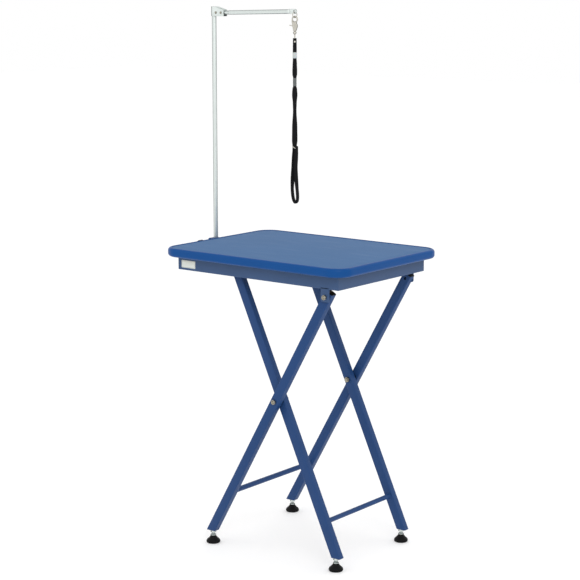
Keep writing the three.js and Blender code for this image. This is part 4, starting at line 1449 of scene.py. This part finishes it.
def hook_shell(eye, bottom):
    """The hook's body: a rounded plate with a slot for the trigger and a bore for the swivel."""
    outline = [
        (-0.0056, eye - 0.007), (-0.0061, eye - 0.0105), (-0.0065, eye - 0.014), (-0.0062, eye - 0.018),
        (-0.0054, eye - 0.022), (-0.0043, bottom + 0.003), (-0.0036, bottom), (0.0036, bottom),
        (0.0046, bottom + 0.0026), (0.0066, eye - 0.0222), (0.0078, eye - 0.0182), (0.0074, eye - 0.0142),
        (0.0056, eye - 0.011), (0.0052, eye - 0.007), (0.004, eye - 0.0057), (0, eye - 0.0062),
        (-0.004, eye - 0.0057)]
    shell = soften(upright(rounded_outline(outline), 0.0058, 0.0029), 0.0012, 4, 50)
    slot = box_piece((-0.012, -0.0015, eye - 0.021), (-0.0014, 0.0015, eye - 0.004))
    bore = rod(0.0021, (0, 0, bottom - 0.001), (0, 0, bottom + 0.0065), 24)
    return carve(shell, slot, bore)


def make_snap_hook():
    low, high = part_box("snap_hook")
    eye = high.z - HOOK_LOOP
    pin_x, pin_z = -0.0048, eye - 0.016
    pin = soften(rod(0.0013, (pin_x, -0.0032, pin_z), (pin_x, 0.0032, pin_z), 20), 0.0003, 2)
    hook = hung(join(hook_loop(eye), hook_shell(eye, low.z), pin), HOOK_TURN)
    deliver(hook, "snap_hook_body", "hook", "nickel", "snap_hook")


def make_trigger():
    """The sprung lever with its thumb tab, which closes the loop."""
    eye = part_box("snap_hook")[1].z - HOOK_LOOP
    lever = [
        (-0.0155, eye - 0.0146), (-0.0158, eye - 0.016), (-0.0153, eye - 0.0172), (-0.0115, eye - 0.0172),
        (-0.007, eye - 0.0184), (-0.0034, eye - 0.0184), (-0.0032, eye - 0.0135), (-0.0052, eye - 0.009),
        (-0.0057, eye - 0.004), (-0.0058, eye + 0.0018), (-0.0086, eye + 0.0018), (-0.009, eye - 0.004),
        (-0.0088, eye - 0.0088), (-0.0078, eye - 0.0142), (-0.011, eye - 0.0154)]
    trigger = soften(upright(rounded_outline(lever, 3), 0.0024, 0.0012), 0.0004, 3, 50)
    deliver(hung(trigger, HOOK_TURN), "hook_thumb_trigger", "trigger", "nickel", "hook_trigger")


def make_swivel():
    """The swivel's stem and ball, with the bar that the strap is folded round."""
    low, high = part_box("swivel_eye")
    ball, neck = 0.0045, 0.0016
    ball_z = high.z - 0.006 - ball
    profile = [(neck, low.z + 0.001), (neck, ball_z - ball - 0.0006)]
    profile += arc(0, ball_z, ball, -66, 66, 12)
    profile += [(neck, ball_z + ball + 0.0004), (neck - 0.0002, high.z - 0.0006), (neck - 0.0008, high.z)]
    stem = turned(profile, 32)
    bar = soften(rod(neck, (-0.0045, 0, low.z + neck), (0.0045, 0, low.z + neck), 24), 0.0005, 3)
    groove = hoop(ball, 0.0004, (0, 0, ball_z), (0, 0, 0), 40, 8)
    swivel = hung(join(stem, bar, groove), STRAP_FACE)
    deliver(swivel, "swivel_ball_and_bar", "noose", "nickel", "swivel_eye")


def finish_frame_parts():
    """The frame's own nodes that stay visible get their full finish."""
    for row in frame["record"]["subparts"]:
        node = frame["nodes"][row["node"]]
        if node.hide_render:
            continue
        node.data.materials.clear()
        node.data.materials.append(finish(row["material_slot"]))


# ---------- Stage ----------

CAMERA_AT = (2.68795, -3.4349, 1.4827)
CAMERA_YAW = math.radians(38.2435)
CAMERA_PITCH = math.radians(-10.3064)
CAMERA_LENS = 102.7


def make_camera():
    clear_selection()
    bpy.ops.object.camera_add(
        location=CAMERA_AT, rotation=(math.pi / 2 + CAMERA_PITCH, 0, CAMERA_YAW))
    camera = bpy.context.object
    camera.data.lens = CAMERA_LENS
    camera.data.sensor_width = 36
    camera.data.clip_end = 60
    bpy.context.scene.camera = camera


def soft_light(name, location, size, energy, aim):
    clear_selection()
    turn = (Vector(aim) - Vector(location)).to_track_quat("-Z", "Y").to_euler()
    bpy.ops.object.light_add(type="AREA", location=location, rotation=turn)
    light = bpy.context.object
    light.name = name
    light.data.size = size
    light.data.energy = energy


def make_stage():
    clear_selection()
    bpy.ops.mesh.primitive_plane_add(size=40, location=(0, 0, -0.0005))
    floor = bpy.context.object
    floor.name = "studio_floor"
    recipe = Recipe("studio_floor_white", (0.82, 0.82, 0.82), 0.8, Emission_Strength=0.2)
    recipe.set("Emission Color", (1.0, 1.0, 1.0, 1.0))
    floor.data.materials.append(recipe.material)
    world = bpy.data.worlds.new("studio_air")
    world.use_nodes = True
    background = world.node_tree.nodes["Background"]
    background.inputs["Color"].default_value = (1.0, 1.0, 1.0, 1.0)
    background.inputs["Strength"].default_value = 1.0
    bpy.context.scene.world = world
    middle_height = (0, 0, 0.7)
    soft_light("key_light", (2.4, -2.2, 2.6), 1.6, 26, middle_height)
    soft_light("fill_light", (-2.8, -2.6, 1.9), 2.4, 6, middle_height)
    soft_light("top_light", (0.2, 0.4, 3.6), 2.6, 10, middle_height)
    bpy.context.scene.view_settings.view_transform = "Standard"


# ---------- Operators ----------


class PieceOperator:
    """Shared options of the operators that build pieces."""

    bl_options = {"REGISTER", "UNDO"}
    steps = ()

    def execute(self, context):
        for step in type(self).steps:
            step()
        return {"FINISHED"}


class GROOMING_OT_camera(PieceOperator, bpy.types.Operator):
    """Set up the camera"""

    bl_idname = "grooming.camera"
    bl_label = "Camera"
    steps = (make_camera,)


class GROOMING_OT_noose(PieceOperator, bpy.types.Operator):
    """Make the strap with its keeper, slider, rivet and slip ring"""

    bl_idname = "grooming.noose"
    bl_label = "Noose"
    steps = (make_noose,)


class GROOMING_OT_tabletop(PieceOperator, bpy.types.Operator):
    """Make the moulded rim, the mat and the label"""

    bl_idname = "grooming.tabletop"
    bl_label = "Tabletop"
    steps = (make_rim, make_mat, make_label)


class GROOMING_OT_apron(PieceOperator, bpy.types.Operator):
    """Make the four apron rails and the crossbar saddles"""

    bl_idname = "grooming.apron"
    bl_label = "Apron"
    steps = (make_rails, make_saddles)


class GROOMING_OT_legs(PieceOperator, bpy.types.Operator):
    """Make the leg tubes, their plugs and the cross tubes"""

    bl_idname = "grooming.legs"
    bl_label = "Legs"
    steps = (make_legs, make_stretchers)


class GROOMING_OT_fasteners(PieceOperator, bpy.types.Operator):
    """Make the scissor bolts and the hinge bolts"""

    bl_idname = "grooming.fasteners"
    bl_label = "Fasteners"
    steps = (make_pivots, make_hinges)


class GROOMING_OT_feet(PieceOperator, bpy.types.Operator):
    """Make the four levelling feet"""

    bl_idname = "grooming.feet"
    bl_label = "Levelling Feet"
    steps = (make_feet,)


class GROOMING_OT_post(PieceOperator, bpy.types.Operator):
    """Make the post, its clamp and its knob"""

    bl_idname = "grooming.post"
    bl_label = "Post and Clamp"
    steps = (make_clamp, make_knob, make_post)


class GROOMING_OT_arm(PieceOperator, bpy.types.Operator):
    """Make the folding arm and its bracket"""

    bl_idname = "grooming.arm"
    bl_label = "Folding Arm"
    steps = (make_arm_bracket, make_rivets, make_arm_stop, make_arm)


class GROOMING_OT_hook(PieceOperator, bpy.types.Operator):
    """Make the hanging ring, the snap hook and the swivel"""

    bl_idname = "grooming.hook"
    bl_label = "Snap Hook"
    steps = (make_hanging_ring, make_snap_hook, make_trigger, make_swivel)


class GROOMING_OT_frame_finish(PieceOperator, bpy.types.Operator):
    """Give the frame's visible parts their finish"""

    bl_idname = "grooming.frame_finish"
    bl_label = "Frame Finish"
    steps = (finish_frame_parts,)


class GROOMING_OT_stage(PieceOperator, bpy.types.Operator):
    """Make the floor and the studio light"""

    bl_idname = "grooming.stage"
    bl_label = "Stage"
    steps = (make_stage,)


BUILD_ORDER = (
    GROOMING_OT_camera,
    GROOMING_OT_noose,
    GROOMING_OT_tabletop,
    GROOMING_OT_apron,
    GROOMING_OT_legs,
    GROOMING_OT_fasteners,
    GROOMING_OT_feet,
    GROOMING_OT_post,
    GROOMING_OT_arm,
    GROOMING_OT_hook,
    GROOMING_OT_frame_finish,
    GROOMING_OT_stage,
)


class GROOMING_PT_build(bpy.types.Panel):
    """Lists the build steps, the sizes and the colours"""

    bl_idname = "GROOMING_PT_build"
    bl_label = "Grooming Table"
    bl_space_type = "VIEW_3D"
    bl_region_type = "UI"
    bl_category = "Grooming Table"

    def draw(self, context):
        for operator in BUILD_ORDER:
            self.layout.operator(operator.bl_idname)
        for group in (sizes(), colours()):
            column = self.layout.column()
            for key in group.__annotations__:
                column.prop(group, key)


CLASSES = (GroomingTableSizes, GroomingTableColours, *BUILD_ORDER, GROOMING_PT_build)


def register():
    for item in CLASSES:
        bpy.utils.register_class(item)
    bpy.types.Scene.grooming_table_sizes = bpy.props.PointerProperty(type=GroomingTableSizes)
    bpy.types.Scene.grooming_table_colours = bpy.props.PointerProperty(type=GroomingTableColours)


def unregister():
    del bpy.types.Scene.grooming_table_colours
    del bpy.types.Scene.grooming_table_sizes
    for item in reversed(CLASSES):
        bpy.utils.unregister_class(item)


def main():
    register()
    for operator in BUILD_ORDER:
        getattr(bpy.ops.grooming, operator.bl_idname.split(".")[1])()


if __name__ == "__main__":
    main()
